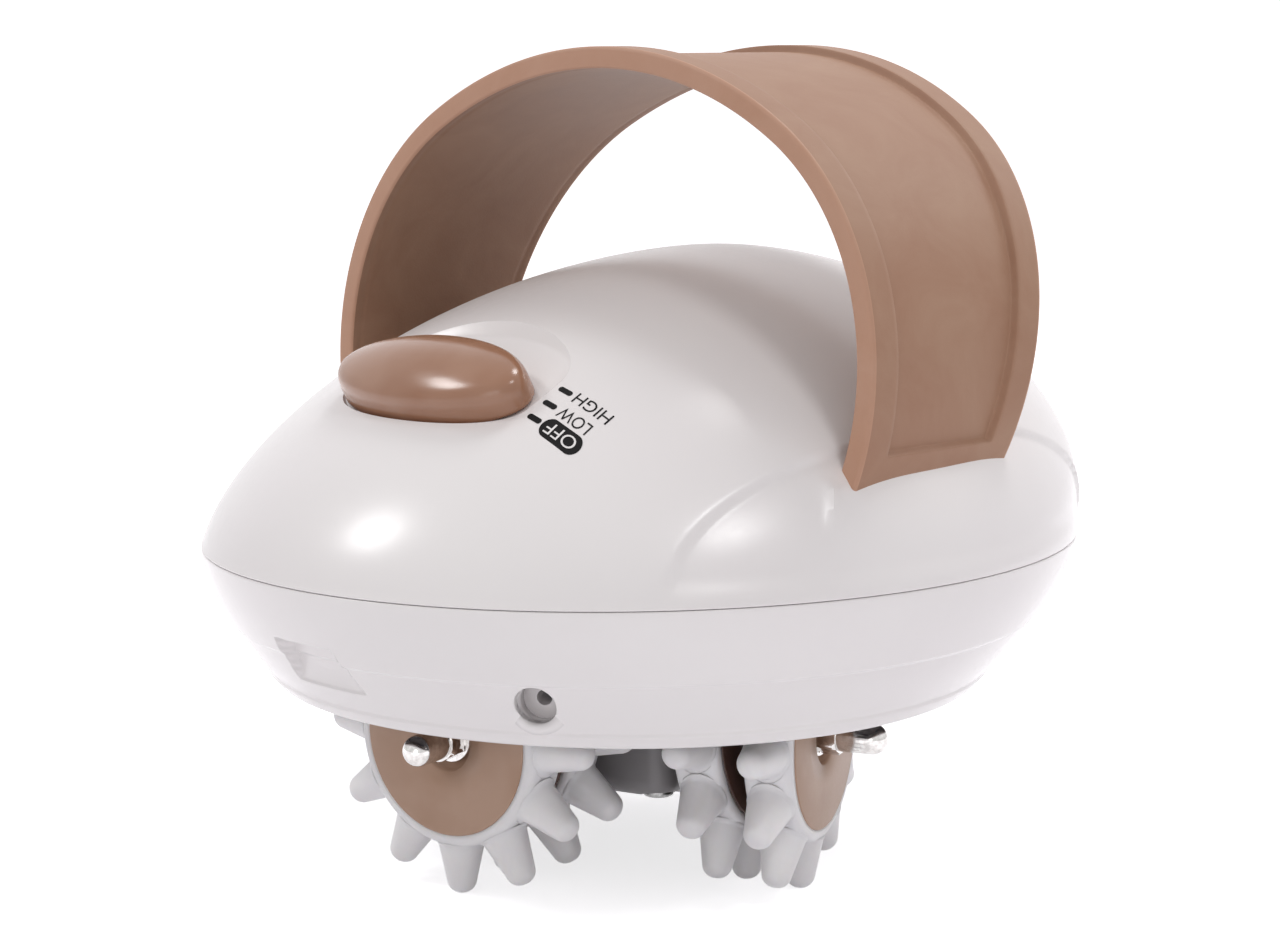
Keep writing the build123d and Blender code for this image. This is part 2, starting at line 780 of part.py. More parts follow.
def gearbox_screws():
    z = hub_bottom + gearbox_screw[2]
    return group(worm_axis() * upward(screw(gearbox_screw, x, y, z), z) for x, y in corner_spots())


def motor_screws():
    z = motor_z - motor_floor
    return group(worm_axis() * upward(screw(motor_screw_size, side * motor_screw,
                                            -side * motor_screw, z), z) for side in (-1, 1))


def save(name, shape):
    export_step(shape, "parts/" + name + ".step")


os.makedirs("parts", exist_ok=True)
single = {
    "upper_shell": upper_shell, "lower_shell": lower_shell, "chassis_plate": chassis_plate,
    "handle_strap": handle_strap, "slide_button": slide_button, "switch_body": switch_body,
    "switch_lever": switch_lever, "circuit_board": circuit_board, "dc_socket": dc_socket,
    "motor_can": motor_can, "motor_magnets": motor_magnets, "motor_end_cap": motor_end_cap,
    "motor_rotor": motor_rotor, "worm": worm, "gearbox_upper": gearbox_upper,
    "gearbox_lower": gearbox_lower, "outer_bushes": outer_bushes, "inner_bushes": inner_bushes,
    "shell_screws": shell_screws, "chassis_screws": chassis_screws,
    "gearbox_screws": gearbox_screws, "motor_screws": motor_screws,
}
for name, make in single.items():
    save(name, make())
save("strap_pins", pins(0))

ring = roller_ring()
shaft = roller_shaft()
sleeves = spacers()
nut = cap_nut()
plain_washer = washer()
for i in range(4):
    skew = wheel_skew if i % 2 == 0 else -wheel_skew
    number = "_" + str(i + 1)
    inner_disc = roller_disc(inner_wheel, inner_wheel_phase, skew, inner_boss_end, boss_r)
    outer_disc = roller_disc(outer_wheel, 0, skew, outer_boss_end, nut_recess_r)
    save("roller_shaft" + number, arm(i) * shaft)
    save("worm_wheel" + number, arm(i) * worm_wheel(i))
    save("inner_ring" + number, arm(i) * wheel_frame(inner_wheel, inner_wheel_phase, skew) * ring)
    save("outer_ring" + number, arm(i) * wheel_frame(outer_wheel, 0, skew) * ring)
    save("inner_disc" + number, arm(i) * inner_disc)
    save("outer_disc" + number, arm(i) * outer_disc)
    save("spacers" + number, arm(i) * sleeves)
    save("washer" + number, arm(i) * plain_washer)
    save("cap_nut" + number, arm(i) * nut)
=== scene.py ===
import bpy
import json
import math
import numpy as np
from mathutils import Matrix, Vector


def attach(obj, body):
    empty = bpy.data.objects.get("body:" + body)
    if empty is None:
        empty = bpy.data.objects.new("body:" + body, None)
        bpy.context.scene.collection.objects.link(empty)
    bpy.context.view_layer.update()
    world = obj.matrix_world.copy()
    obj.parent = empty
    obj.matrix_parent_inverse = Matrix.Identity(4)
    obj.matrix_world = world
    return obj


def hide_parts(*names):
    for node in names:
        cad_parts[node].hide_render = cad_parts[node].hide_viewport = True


# Hand-strap roller massager: the looks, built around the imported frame.
# Lengths in the settings are millimetres, and angles are degrees unless a note says radians.
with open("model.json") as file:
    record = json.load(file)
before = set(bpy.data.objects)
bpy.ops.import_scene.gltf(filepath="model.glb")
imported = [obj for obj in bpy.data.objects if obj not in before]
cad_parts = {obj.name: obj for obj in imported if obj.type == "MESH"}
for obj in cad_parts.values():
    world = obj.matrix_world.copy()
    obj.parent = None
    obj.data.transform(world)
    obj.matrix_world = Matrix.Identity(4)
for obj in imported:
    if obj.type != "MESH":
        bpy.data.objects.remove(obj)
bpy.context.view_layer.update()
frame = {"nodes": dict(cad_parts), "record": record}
mm = 0.001
print("frame loaded:", len(frame["nodes"]), "nodes")


# small helpers

def smoothStep(low, high, value):  # 0 below low, 1 above high, and 3t^2 - 2t^3 between
    share = np.clip((value - low) / (high - low), 0.0, 1.0)
    return share * share * (3 - 2 * share)


def softMin(a, b, blend):  # the smaller of two heights, with the corner rounded over blend
    return 0.5 * (a + b - np.sqrt((a - b) ** 2 + blend ** 2))


def spread(low, high, count, density):  # count values whose spacing shrinks where density is high
    fine = np.linspace(low, high, 4001)
    weight = density(fine)
    total = np.concatenate([[0.0], np.cumsum((weight[1:] + weight[:-1]) / 2)])
    return np.interp(np.linspace(0, total[-1], count), total, fine)


def gridQuads(rows, cols, closedRows=False):  # quads of a grid that wraps along its columns
    r = np.arange(rows if closedRows else rows - 1)[:, None]
    c = np.arange(cols)[None, :]
    nextRow = (r + 1) % rows
    nextCol = (c + 1) % cols
    return np.stack([r * cols + c, r * cols + nextCol, nextRow * cols + nextCol, nextRow * cols + c],
                    axis=-1).reshape(-1, 4)


def poleFan(ring, pole, turnBack):  # triangles from a ring of vertices to one pole vertex
    following = np.roll(ring, -1)
    poles = np.full_like(ring, pole)
    return np.stack([following, ring, poles] if turnBack else [ring, following, poles], axis=-1)


def addPiece(name, points, faces, body, slot, material):
    # a smooth mesh in one material, riding a body of the frame; slot is not used
    mesh = bpy.data.meshes.new(name)
    mesh.from_pydata((np.asarray(points) * mm).tolist(), [], faces)
    mesh.update()
    mesh.polygons.foreach_set("use_smooth", np.ones(len(mesh.polygons), dtype=bool))
    piece = bpy.data.objects.new(name, mesh)
    bpy.context.scene.collection.objects.link(piece)
    mesh.materials.append(material)
    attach(piece, body)
    return piece


def cut(piece, cutter):  # takes the cutter's volume out of the piece for good
    change = piece.modifiers.new("cut", "BOOLEAN")
    change.operation = "DIFFERENCE"
    change.solver = "EXACT"
    change.object = cutter
    evaluated = piece.evaluated_get(bpy.context.evaluated_depsgraph_get())
    mesh = bpy.data.meshes.new_from_object(evaluated)
    piece.modifiers.clear()
    mesh.name = piece.data.name
    piece.data = mesh
    bpy.data.objects.remove(cutter)


def looseObject(name, points, faces):  # a helper mesh that is no piece
    mesh = bpy.data.meshes.new(name)
    mesh.from_pydata((np.asarray(points) * mm).tolist(), [], faces)
    mesh.update()
    helper = bpy.data.objects.new(name, mesh)
    bpy.context.scene.collection.objects.link(helper)
    return helper


# materials

def colour(code):  # sRGB hex to linear
    channels = np.array([int(code[k:k + 2], 16) / 255 for k in (1, 3, 5)])
    linear = np.where(channels <= 0.04045, channels / 12.92, ((channels + 0.055) / 1.055) ** 2.4)
    return (*linear.tolist(), 1.0)


def addNode(owner, kind, values=None, options=None, links=None):
    # adds a node to a material or world, with its options, input values and incoming links
    node = owner.node_tree.nodes.new(kind)
    for name, value in (options or {}).items():
        setattr(node, name, value)
    for name, value in (values or {}).items():
        node.inputs[name].default_value = value
    for name, (source, socket) in (links or {}).items():
        owner.node_tree.links.new(source.outputs[socket], node.inputs[name])
    return node


def newMaterial(name, values):  # a material and its Principled node, with some inputs set
    material = bpy.data.materials.new(name)
    material.use_nodes = True
    surface = material.node_tree.nodes["Principled BSDF"]
    for socket, value in values.items():
        surface.inputs[socket].default_value = value
    return material, surface


def link(owner, source, socket, target, name):  # joins an output to an input of a node that is there
    owner.node_tree.links.new(source.outputs[socket], target.inputs[name])


def perMetre(size):  # noise scale for features of this size in millimetres
    return 1000.0 / size


def mouldedPlastic(name, settings):
    # injection-moulded ABS: even colour, polished by the mould, a faint long wave from shrinkage
    material, surface = newMaterial(name, {"Roughness": settings["roughness"],
                                           "IOR": settings.get("ior", 1.53)})
    place = addNode(material, "ShaderNodeTexCoord")
    tint = addNode(material, "ShaderNodeTexNoise", {"Scale": perMetre(settings["tintSize"]), "Detail": 2.0},
                   links={"Vector": (place, "Object")})
    ramp = addNode(material, "ShaderNodeValToRGB", links={"Fac": (tint, "Fac")})
    ramp.color_ramp.elements[0].position = 0.35
    ramp.color_ramp.elements[1].position = 0.65
    ramp.color_ramp.elements[0].color = colour(settings["shade"])
    ramp.color_ramp.elements[1].color = colour(settings["light"])
    link(material, ramp, "Color", surface, "Base Color")
    wave = addNode(material, "ShaderNodeTexNoise", {"Scale": perMetre(settings["waveSize"]), "Detail": 1.0},
                   links={"Vector": (place, "Object")})
    grain = addNode(material, "ShaderNodeTexNoise", {"Scale": perMetre(settings["grainSize"]), "Detail": 2.0},
                    links={"Vector": (place, "Object")})
    low = addNode(material, "ShaderNodeBump", {"Strength": settings["wave"], "Distance": 0.0004},
                  links={"Height": (wave, "Fac")})
    fine = addNode(material, "ShaderNodeBump", {"Strength": settings["grain"], "Distance": 0.00008},
                   links={"Height": (grain, "Fac"), "Normal": (low, "Normal")})
    link(material, fine, "Normal", surface, "Normal")
    rough = addNode(material, "ShaderNodeMapRange", {"To Min": settings["roughness"] * 0.85,
                                                     "To Max": settings["roughness"] * 1.2},
                    links={"Value": (grain, "Fac")})
    link(material, rough, "Result", surface, "Roughness")
    return material


def mouldedRubber(name, settings):
    # soft moulded elastomer: matt skin, cloudy handling marks, a trace of light inside
    material, surface = newMaterial(name, {"Roughness": settings["roughness"], "IOR": 1.43,
                                           "Sheen Weight": settings["sheen"], "Sheen Roughness": 0.5,
                                           "Subsurface Weight": settings["glow"],
                                           "Subsurface Scale": 0.003})
    surface.inputs["Subsurface Radius"].default_value = (1.0, 0.7, 0.5)
    place = addNode(material, "ShaderNodeTexCoord")
    cloud = addNode(material, "ShaderNodeTexNoise", {"Scale": perMetre(settings["cloudSize"]), "Detail": 5.0,
                                                     "Roughness": 0.62, "Distortion": 0.6},
                    links={"Vector": (place, "Object")})
    ramp = addNode(material, "ShaderNodeValToRGB", links={"Fac": (cloud, "Fac")})
    ramp.color_ramp.elements[0].position = 0.3
    ramp.color_ramp.elements[1].position = 0.7
    ramp.color_ramp.elements[0].color = colour(settings["shade"])
    ramp.color_ramp.elements[1].color = colour(settings["light"])
    link(material, ramp, "Color", surface, "Base Color")
    grain = addNode(material, "ShaderNodeTexNoise", {"Scale": perMetre(settings["grainSize"]), "Detail": 3.0},
                    links={"Vector": (place, "Object")})
    marks = addNode(material, "ShaderNodeBump", {"Strength": settings["marks"], "Distance": 0.0003},
                    links={"Height": (cloud, "Fac")})
    skin = addNode(material, "ShaderNodeBump", {"Strength": settings["grain"], "Distance": 0.0001},
                   links={"Height": (grain, "Fac"), "Normal": (marks, "Normal")})
    link(material, skin, "Normal", surface, "Normal")
    rough = addNode(material, "ShaderNodeMapRange", {"To Min": settings["roughness"] - 0.07,
                                                     "To Max": settings["roughness"] + 0.07},
                    links={"Value": (cloud, "Fac")})
    link(material, rough, "Result", surface, "Roughness")
    return material


def turnedMetal(name, settings):
    # machined metal: fine tool marks and a slight unevenness in the polish
    material, surface = newMaterial(name, {"Metallic": 1.0, "Roughness": settings["roughness"]})
    place = addNode(material, "ShaderNodeTexCoord")
    marks = addNode(material, "ShaderNodeTexNoise", {"Scale": perMetre(settings["markSize"]), "Detail": 3.0},
                    links={"Vector": (place, "Object")})
    tone = addNode(material, "ShaderNodeValToRGB", links={"Fac": (marks, "Fac")})
    tone.color_ramp.elements[0].position = 0.35
    tone.color_ramp.elements[1].position = 0.65
    tone.color_ramp.elements[0].color = colour(settings["shade"])
    tone.color_ramp.elements[1].color = colour(settings["light"])
    link(material, tone, "Color", surface, "Base Color")
    rough = addNode(material, "ShaderNodeMapRange", {"To Min": settings["roughness"] * 0.7,
                                                     "To Max": settings["roughness"] * 1.4},
                    links={"Value": (marks, "Fac")})
    link(material, rough, "Result", surface, "Roughness")
    bump = addNode(material, "ShaderNodeBump", {"Strength": settings["bump"], "Distance": 0.00003},
                   links={"Height": (marks, "Fac")})
    link(material, bump, "Normal", surface, "Normal")
    return material


whiteAbs = mouldedPlastic("polished white ABS", {
    "shade": "#F0ECED", "light": "#F3F0F0", "roughness": 0.24, "tintSize": 60, "waveSize": 26, "wave": 0.03,
    "grainSize": 1.4, "grain": 0.002})
brownAbs = mouldedPlastic("polished brown ABS", {
    "shade": "#9C6E53", "light": "#A97F67", "roughness": 0.2, "tintSize": 14, "waveSize": 12, "wave": 0.05,
    "grainSize": 0.9, "grain": 0.004})
discAbs = mouldedPlastic("satin brown ABS", {
    "shade": "#AD8A72", "light": "#B6957F", "roughness": 0.4, "tintSize": 9, "waveSize": 9, "wave": 0.03,
    "grainSize": 0.5, "grain": 0.08})
# the disc brown made darker: painted shade for the inner wheels' discs, which lie in the outer wheels' shade
paintedShadeAbs = mouldedPlastic("brown ABS with painted shade", {
    "shade": "#5B433B", "light": "#634A41", "roughness": 0.42, "tintSize": 9, "waveSize": 9, "wave": 0.03,
    "grainSize": 0.5, "grain": 0.08})
darkAbs = mouldedPlastic("dark grey nylon", {
    "shade": "#949193", "light": "#9D9A9C", "roughness": 0.45, "tintSize": 12, "waveSize": 9, "wave": 0.05,
    "grainSize": 0.4, "grain": 0.15})
strapRubber = mouldedRubber("moulded brown elastomer", {
    "shade": "#A0775F", "light": "#AB8770", "roughness": 0.56, "sheen": 0.04, "glow": 0.0, "cloudSize": 17,
    "grainSize": 0.35, "grain": 0.18, "marks": 0.12})
# the strap's brown made darker: painted shade for the strap's inner face
strapInsidePaintedShade = mouldedRubber("brown elastomer with painted shade", {
    "shade": "#8A6751", "light": "#997862", "roughness": 0.56, "sheen": 0.03, "glow": 0.0, "cloudSize": 17,
    "marks": 0.2, "grainSize": 0.35, "grain": 0.25})
# the strap's brown made lighter: painted highlight for the strap's edges, where they catch the front light
strapEdgesPaintedHighlight = mouldedRubber("brown elastomer with painted highlight", {
    "shade": "#B98D74", "light": "#C09780", "roughness": 0.5, "sheen": 0.05, "glow": 0.0, "cloudSize": 17,
    "marks": 0.2, "grainSize": 0.35, "grain": 0.25})
ringRubber = mouldedRubber("moulded white elastomer", {
    "shade": "#F3F1F3", "light": "#F9F8F8", "roughness": 0.36, "sheen": 0.0, "glow": 0.12, "cloudSize": 9,
    "grainSize": 0.5, "grain": 0.1, "marks": 0.1})
nickel = turnedMetal("nickel-plated steel, polished", {
    "shade": "#C9C6C4", "light": "#E2E0DE", "roughness": 0.1, "markSize": 0.8, "bump": 0.05})
steel = turnedMetal("zinc-plated steel", {
    "shade": "#9D9D9C", "light": "#B4B4B3", "roughness": 0.3, "markSize": 0.5, "bump": 0.15})
brass = turnedMetal("machined brass", {
    "shade": "#A98A4C", "light": "#BE9F5E", "roughness": 0.28, "markSize": 0.4, "bump": 0.15})
boardGreen = mouldedPlastic("glass-epoxy board with green resist", {
    "shade": "#2B5F3E", "light": "#33694A", "roughness": 0.35, "tintSize": 5, "waveSize": 6, "wave": 0.03,
    "grainSize": 0.4, "grain": 0.1})
gearWhite = mouldedPlastic("natural acetal", {
    "shade": "#DDD9CB", "light": "#E8E5DA", "roughness": 0.4, "tintSize": 6, "waveSize": 6, "wave": 0.03,
    "grainSize": 0.4, "grain": 0.05})
blackInk = mouldedPlastic("black pad-print ink", {
    "shade": "#0B0A0B", "light": "#121112", "roughness": 0.6, "ior": 1.25, "tintSize": 2, "waveSize": 2,
    "wave": 0.0, "grainSize": 0.2, "grain": 0.05})
whiteInk = mouldedPlastic("white pad-print ink", {
    "shade": "#E9E6E6", "light": "#F3F1F1", "roughness": 0.4, "tintSize": 2, "waveSize": 2, "wave": 0.0,
    "grainSize": 0.2, "grain": 0.05})
print("materials made")


# housing

housing = {
    "width": 144.0, "length": 160.0, "height": 49.0, "lean": 0.36, "power": 1.8, "wall": 2.4,
    "seamZ": 56.0, "seamY": -0.6, "seamGap": 0.06, "seamRound": 0.25,
    "turns": 500, "lifts": 176, "innerLifts": 22, "seamRows": 6, "seamSkip": 0.15, "sharpAngle": 28.0,
    "frontMore": 2.6, "frontReach": 0.62, "highMore": 1.2, "highAt": 0.75, "highReach": 0.33,  # radians
    "recessY": -49.3, "recessZ": 86.0, "recessTilt": 29.0, "recessDepth": 2.8, "travel": 7.6,
    "buttonHalfX": 21.7, "buttonHalfS": 9.2, "recessGap": 0.5, "floorRound": 0.25,
    "steep": 7.0, "gentle": 0.62, "steepBelow": -6.0, "gentleAbove": 9.0,
    "recessTop": 9.0, "recessTurns": 220, "insideShare": 0.8, "insideBlend": 0.35, "insideReach": 6.0,
    "petalY": 3.0, "petalHalf": 54.0, "petalRise": 23.3, "petalStep": 0.6, "petalEdge": 0.9,
    "petalSink": 1.2, "petalFade": (0.5, 5.0), "footRise": 20.0, "footReach": (14.0, 8.5), "sideFrom": 30.0,
    "creaseFrom": (-20.6, 72.9), "creaseTo": (-24.5, 63.7), "creaseHeight": 0.45, "creaseWidth": 0.9,
    "creaseStart": (-0.15, 0.05), "creaseEnd": (0.5, 1.1),
}


def domeHeight(x, y):  # height of the plain dome over a point, by repeated substitution of its lean
    h = np.zeros_like(x)
    s = housing
    for step in range(60):
        reach = np.hypot(x / (s["width"] / 2), (y - s["seamY"] - s["lean"] * h) / (s["length"] / 2))
        top = s["height"] * np.clip(1 - np.clip(reach, 0, 1) ** s["power"], 0, 1) ** (1 / s["power"])
        h = 0.5 * h + 0.5 * top
    return s["seamZ"] + h


def domePoints(turn, lift, inset):
    # leaning superellipsoid: r = cos(lift)^(2/n), h = sin(lift)^(2/n), y shifted by lean * height
    s = housing
    radius = np.cos(lift) ** (2 / s["power"])
    rise = np.sin(lift) ** (2 / s["power"])
    height = (s["height"] - inset) * rise
    x = (s["width"] / 2 - inset) * radius * np.cos(turn)
    y = s["seamY"] + (s["length"] / 2 - inset) * radius * np.sin(turn) + s["lean"] * height
    return np.stack([x, y, s["seamZ"] + height + 0 * x], axis=-1)


def domeNormals(points):  # gradient of the superellipsoid's own equation
    s = housing
    h = np.clip((points[..., 2] - s["seamZ"]) / s["height"], 1e-4, None)
    x = points[..., 0] / (s["width"] / 2)
    y = (points[..., 1] - s["seamY"] - s["lean"] * s["height"] * h) / (s["length"] / 2)
    r = np.clip(np.hypot(x, y), 1e-4, None)
    outward = s["power"] * r ** (s["power"] - 1)
    gx = outward * x / r / (s["width"] / 2)
    gy = outward * y / r / (s["length"] / 2)
    gz = s["power"] * h ** (s["power"] - 1) / s["height"] - s["lean"] * gy
    normal = np.stack([gx, gy, gz], axis=-1)
    return normal / np.linalg.norm(normal, axis=-1, keepdims=True)


def switchAxes():  # the switch's middle at OFF, its way up the slope and its way out of the dome
    tilt = math.radians(housing["recessTilt"])
    along = np.array([0.0, math.cos(tilt), math.sin(tilt)])
    out = np.array([0.0, -math.sin(tilt), math.cos(tilt)])
    return np.array([0.0, housing["recessY"], housing["recessZ"]]), along, out


def wallSlope(slide):  # slope of the recess's wall: steep below the button, gentle above it
    s = housing
    return s["steep"] + (s["gentle"] - s["steep"]) * smoothStep(s["steepBelow"], s["gentleAbove"], slide)


def recessReach(x, slide):  # distance outside the button's sweep, from the sweep's share of an ellipse
    s = housing
    beyond = slide - np.clip(slide, 0, s["travel"])
    reach = np.hypot(x / (s["buttonHalfX"] + s["recessGap"]), beyond / (s["buttonHalfS"] + s["recessGap"]))
    return (reach - 1) * np.hypot(x, beyond) / np.clip(reach, 1e-3, None)


def lowerInside(points, deeper):
    # keeps the inner wall clear of the recess: the recess's own shape, set lower by deeper
    s = housing
    origin, along, out = switchAxes()
    local = points - origin
    height = local @ out
    slide = local @ along
    apart = np.clip(recessReach(local[..., 0], slide), 0, None)
    wallHeight = -s["recessDepth"] - deeper + wallSlope(slide) * apart
    carved = softMin(height, wallHeight, s["insideBlend"])
    moved = np.where(wallHeight - height < s["insideReach"], carved - height, 0.0)
    return points + moved[..., None] * out


def recessCutter():
    # the button's sweep with a little room, its wall leaning out by height over slope
    s = housing
    origin, along, out = switchAxes()
    turn = np.linspace(0, 2 * math.pi, s["recessTurns"], endpoint=False)
    floor = -s["recessDepth"]
    rows = []
    for height, inset in ((floor, s["floorRound"]), (floor + s["floorRound"], 0.0), (s["recessTop"], 0.0)):
        lift = height - floor
        halfX = s["buttonHalfX"] + s["recessGap"] - inset
        halfS = s["buttonHalfS"] + s["recessGap"] - inset
        x = halfX * np.cos(turn)
        slide = halfS * np.sin(turn) + np.where(np.sin(turn) > 0, s["travel"], 0.0)
        slope = wallSlope(slide)
        nx = np.cos(turn) / halfX
        ns = np.sin(turn) / halfS
        size = np.hypot(nx, ns)
        x = x + nx / size * lift / slope
        slide = slide + ns / size * lift / slope
        rows.append(origin + x[:, None] * np.array([1.0, 0, 0]) + slide[:, None] * along + height * out)
    points = np.stack(rows)
    count, cols = points.shape[:2]
    faces = gridQuads(count, cols).tolist()
    faces.append(list(range(cols - 1, -1, -1)))
    faces.append(list(range((count - 1) * cols, count * cols)))
    return points.reshape(-1, 3), faces


def sinkPetals(points):
    # low-stepped panel round each strap foot, an ellipse in the side view, deepest at the slot
    s = housing
    y = points[..., 1] - s["petalY"]
    z = points[..., 2] - s["seamZ"]
    reach = np.clip(np.hypot(y / s["petalHalf"], z / s["petalRise"]), 1e-3, None)
    steepness = np.hypot(y / s["petalHalf"] ** 2, z / s["petalRise"] ** 2) / reach
    inside = smoothStep(0.0, s["petalEdge"], (1 - reach) / np.clip(steepness, 1e-3, None))
    footY, footZ = s["footReach"]
    towardsFoot = np.exp(-(y / footY) ** 2 - ((z - s["footRise"]) / footZ) ** 2)
    fade = smoothStep(*s["petalFade"], z)
    depth = (s["petalStep"] + s["petalSink"] * towardsFoot) * inside * fade
    fromY, fromZ = s["creaseFrom"]
    toY, toZ = s["creaseTo"]
    run = np.array([toY - fromY, toZ - fromZ])
    length = np.hypot(*run)
    py = points[..., 1] - fromY
    pz = points[..., 2] - fromZ
    share = (py * run[0] + pz * run[1]) / length ** 2
    across = (py * run[1] - pz * run[0]) / length
    ends = smoothStep(*s["creaseStart"], share) * (1 - smoothStep(*s["creaseEnd"], share))
    ridge = np.exp(-(across / s["creaseWidth"]) ** 2) * ends * (points[..., 0] > 0)
    change = (depth - s["creaseHeight"] * ridge) * (np.abs(points[..., 0]) > s["sideFrom"])
    return points - change[..., None] * domeNormals(points)


def frontDensity(turn):  # more columns towards the front, where switch, notch and plug hole are
    away = np.angle(np.exp(1j * (turn + math.pi / 2)))
    return 1 + housing["frontMore"] * np.exp(-(away / housing["frontReach"]) ** 2)


def liftDensity(lift):  # more rows at the height of the switch and the panels' upper edge
    return 1 + housing["highMore"] * np.exp(-((lift - housing["highAt"]) / housing["highReach"]) ** 2)


columns = spread(-math.pi, math.pi, housing["turns"] + 1, frontDensity)[:-1]


def domeShell():
    # inner wall from its pole down, a rounded lip at the seam, and the outer skin up to its pole
    s = housing
    turn = columns[None, :]
    innerLift = np.linspace(math.pi / 2, 0, s["innerLifts"] + 1)[1:, None]
    inner = lowerInside(domePoints(turn, innerLift, s["wall"]), s["wall"] * s["insideShare"])
    inner[-1, :, 2] = s["seamZ"] + s["seamGap"]
    outerLift = spread(0.0, math.pi / 2, s["lifts"] + 1, liftDensity)[:-1, None]
    outer = sinkPetals(domePoints(turn, outerLift, 0.0))
    roundRows = np.linspace(0, math.pi / 2, s["seamRows"])[:, None]
    lip = domePoints(turn, np.zeros((s["seamRows"], 1)), 0.0)
    centre = np.array([0.0, s["seamY"], s["seamZ"]])
    inward = (centre - lip) * np.array([1, 1, 0])
    inward /= np.linalg.norm(inward, axis=-1, keepdims=True)
    lip += inward * (s["seamRound"] * (1 - np.sin(roundRows)))[..., None]
    lip[..., 2] += s["seamGap"] + s["seamRound"] * (1 - np.cos(roundRows))
    lipTop = s["seamZ"] + s["seamGap"] + s["seamRound"]
    rows = np.concatenate([inner, lip, outer[outer[:, 0, 2] > lipTop + s["seamSkip"]]])
    count = rows.shape[0]
    cols = rows.shape[1]
    innerPole = domePoints(np.zeros(1), np.full(1, math.pi / 2), s["wall"])
    outerPole = domePoints(np.zeros(1), np.full(1, math.pi / 2), 0.0)
    points = np.concatenate([rows.reshape(-1, 3), innerPole, outerPole])
    faces = gridQuads(count, cols).tolist()
    faces += poleFan(np.arange(cols), count * cols, True).tolist()
    faces += poleFan(np.arange(cols) + (count - 1) * cols, count * cols + 1, False).tolist()
    return points, faces


# strap

strap = {
    "thick": 3.7, "half": 62.0, "waistZ": 87.0, "topZ": 136.2, "blend": 31.0, "footZ": 62.0,
    "lean": 0.206, "y": 1.2, "leanZ": 73.0, "footHalf": 18.4, "taper": 0.119,
    "rim": 6.2, "recess": 1.25, "recessEnd": 77.0, "recessRound": 0.32, "edgeOut": 0.7, "edgeIn": 0.5,
    "groove": 0.18, "grooveIn": 2.2, "grooveWidth": 0.35, "slotGap": 0.35,
    "stations": 300, "cutterStations": 60, "around": 30, "shelfPoints": 7, "stepPoints": 9, "cornerPoints": 7,
}


def strapPath(count):
    # two-radius arch from foot to foot: a top arc between two side arcs, tangent where they meet
    s = strap
    turn = math.radians(s["blend"])
    span = (s["topZ"] - s["half"] - s["waistZ"]) / (1 - math.sin(turn) - math.cos(turn))
    sideR = s["half"] - span * math.sin(turn)
    topR = sideR + span
    sideX = span * math.sin(turn)
    topCentre = s["topZ"] - topR
    footTurn = math.asin((s["waistZ"] - s["footZ"]) / sideR)
    sideSpan = sideR * (math.pi / 2 - turn + footTurn)
    topSpan = topR * turn
    endTurn = math.asin((s["recessEnd"] + s["recessRound"] - s["waistZ"]) / sideR)
    end = topSpan + sideR * (math.pi / 2 - turn - endTurn)
    fine = np.linspace(-3 * s["recessRound"], 3 * s["recessRound"], 13)  # extra rows where the panel ends
    run = np.linspace(-(sideSpan + topSpan), sideSpan + topSpan, count)
    run = run[np.abs(np.abs(run) - end) > 4 * s["recessRound"]]
    run = np.sort(np.concatenate([run, end + fine, -end + fine]))
    onTop = np.abs(run) <= topSpan
    angle = np.where(onTop, run / topR, np.sign(run) * (turn + (np.abs(run) - topSpan) / sideR))
    radius = np.where(onTop, topR, sideR)
    centreX = np.where(onTop, 0.0, np.sign(run) * sideX)
    centreZ = np.where(onTop, topCentre, s["waistZ"])
    outX = np.sin(angle)
    outZ = np.cos(angle)
    return centreX + radius * outX, centreZ + radius * outZ, outX, outZ


def strapSection(half, recessShare, grow):
    # closed outline across the strap: outer face with a sunk panel, round edges, flat inner face
    s = strap
    n = s["around"]
    corner = np.linspace(0, math.pi / 2, s["cornerPoints"])
    thick = s["thick"]
    outR = s["edgeOut"]
    inR = s["edgeIn"]
    wide = half[:, None]
    step = np.linspace(-s["recessRound"], s["recessRound"], s["stepPoints"])[None, :]
    shelf = np.linspace(0, 1, s["shelfPoints"] + 1)[None, :-1] * (s["rim"] - outR - s["recessRound"])
    panel = np.linspace(-1, 1, 2 * n)[None, 1:-1] * (wide - s["rim"] - s["recessRound"])
    left = outR - wide + shelf
    outerV = np.concatenate([left, step - wide + s["rim"], panel, wide - s["rim"] + step, -left[:, ::-1]],
                            axis=1)
    edge = wide - np.abs(outerV)
    sunk = smoothStep(s["rim"] - s["recessRound"], s["rim"] + s["recessRound"], edge) * recessShare[:, None]
    outerW = thick - s["recess"] * sunk
    innerV = -np.linspace(-1, 1, 3 * n)[None, :] * (wide - inR)
    innerEdge = wide - np.abs(innerV)
    innerW = s["groove"] * np.exp(-((innerEdge - s["grooveIn"]) / s["grooveWidth"]) ** 2)
    rightOutV = wide - outR + outR * np.sin(corner)[None, :]
    rightOutW = thick - outR + outR * np.cos(corner)[None, :] + 0 * rightOutV
    rightInV = wide - inR + inR * np.cos(corner)[None, :]
    rightInW = inR - inR * np.sin(corner)[None, :] + 0 * rightInV
    v = np.concatenate([outerV[:, :-1], rightOutV, rightInV[:, :-1], innerV[:, :-1],
                        -rightInV[:, ::-1], -rightOutV[:, ::-1][:, :-1]], axis=1)
    w = np.concatenate([outerW[:, :-1], rightOutW, rightInW[:, :-1], innerW[:, :-1],
                        rightInW[:, ::-1], rightOutW[:, ::-1][:, :-1]], axis=1)
    if grow:
        v = v * (1 + grow / wide)
        w = np.where(w > thick / 2, thick + grow, -grow)
    return v, w


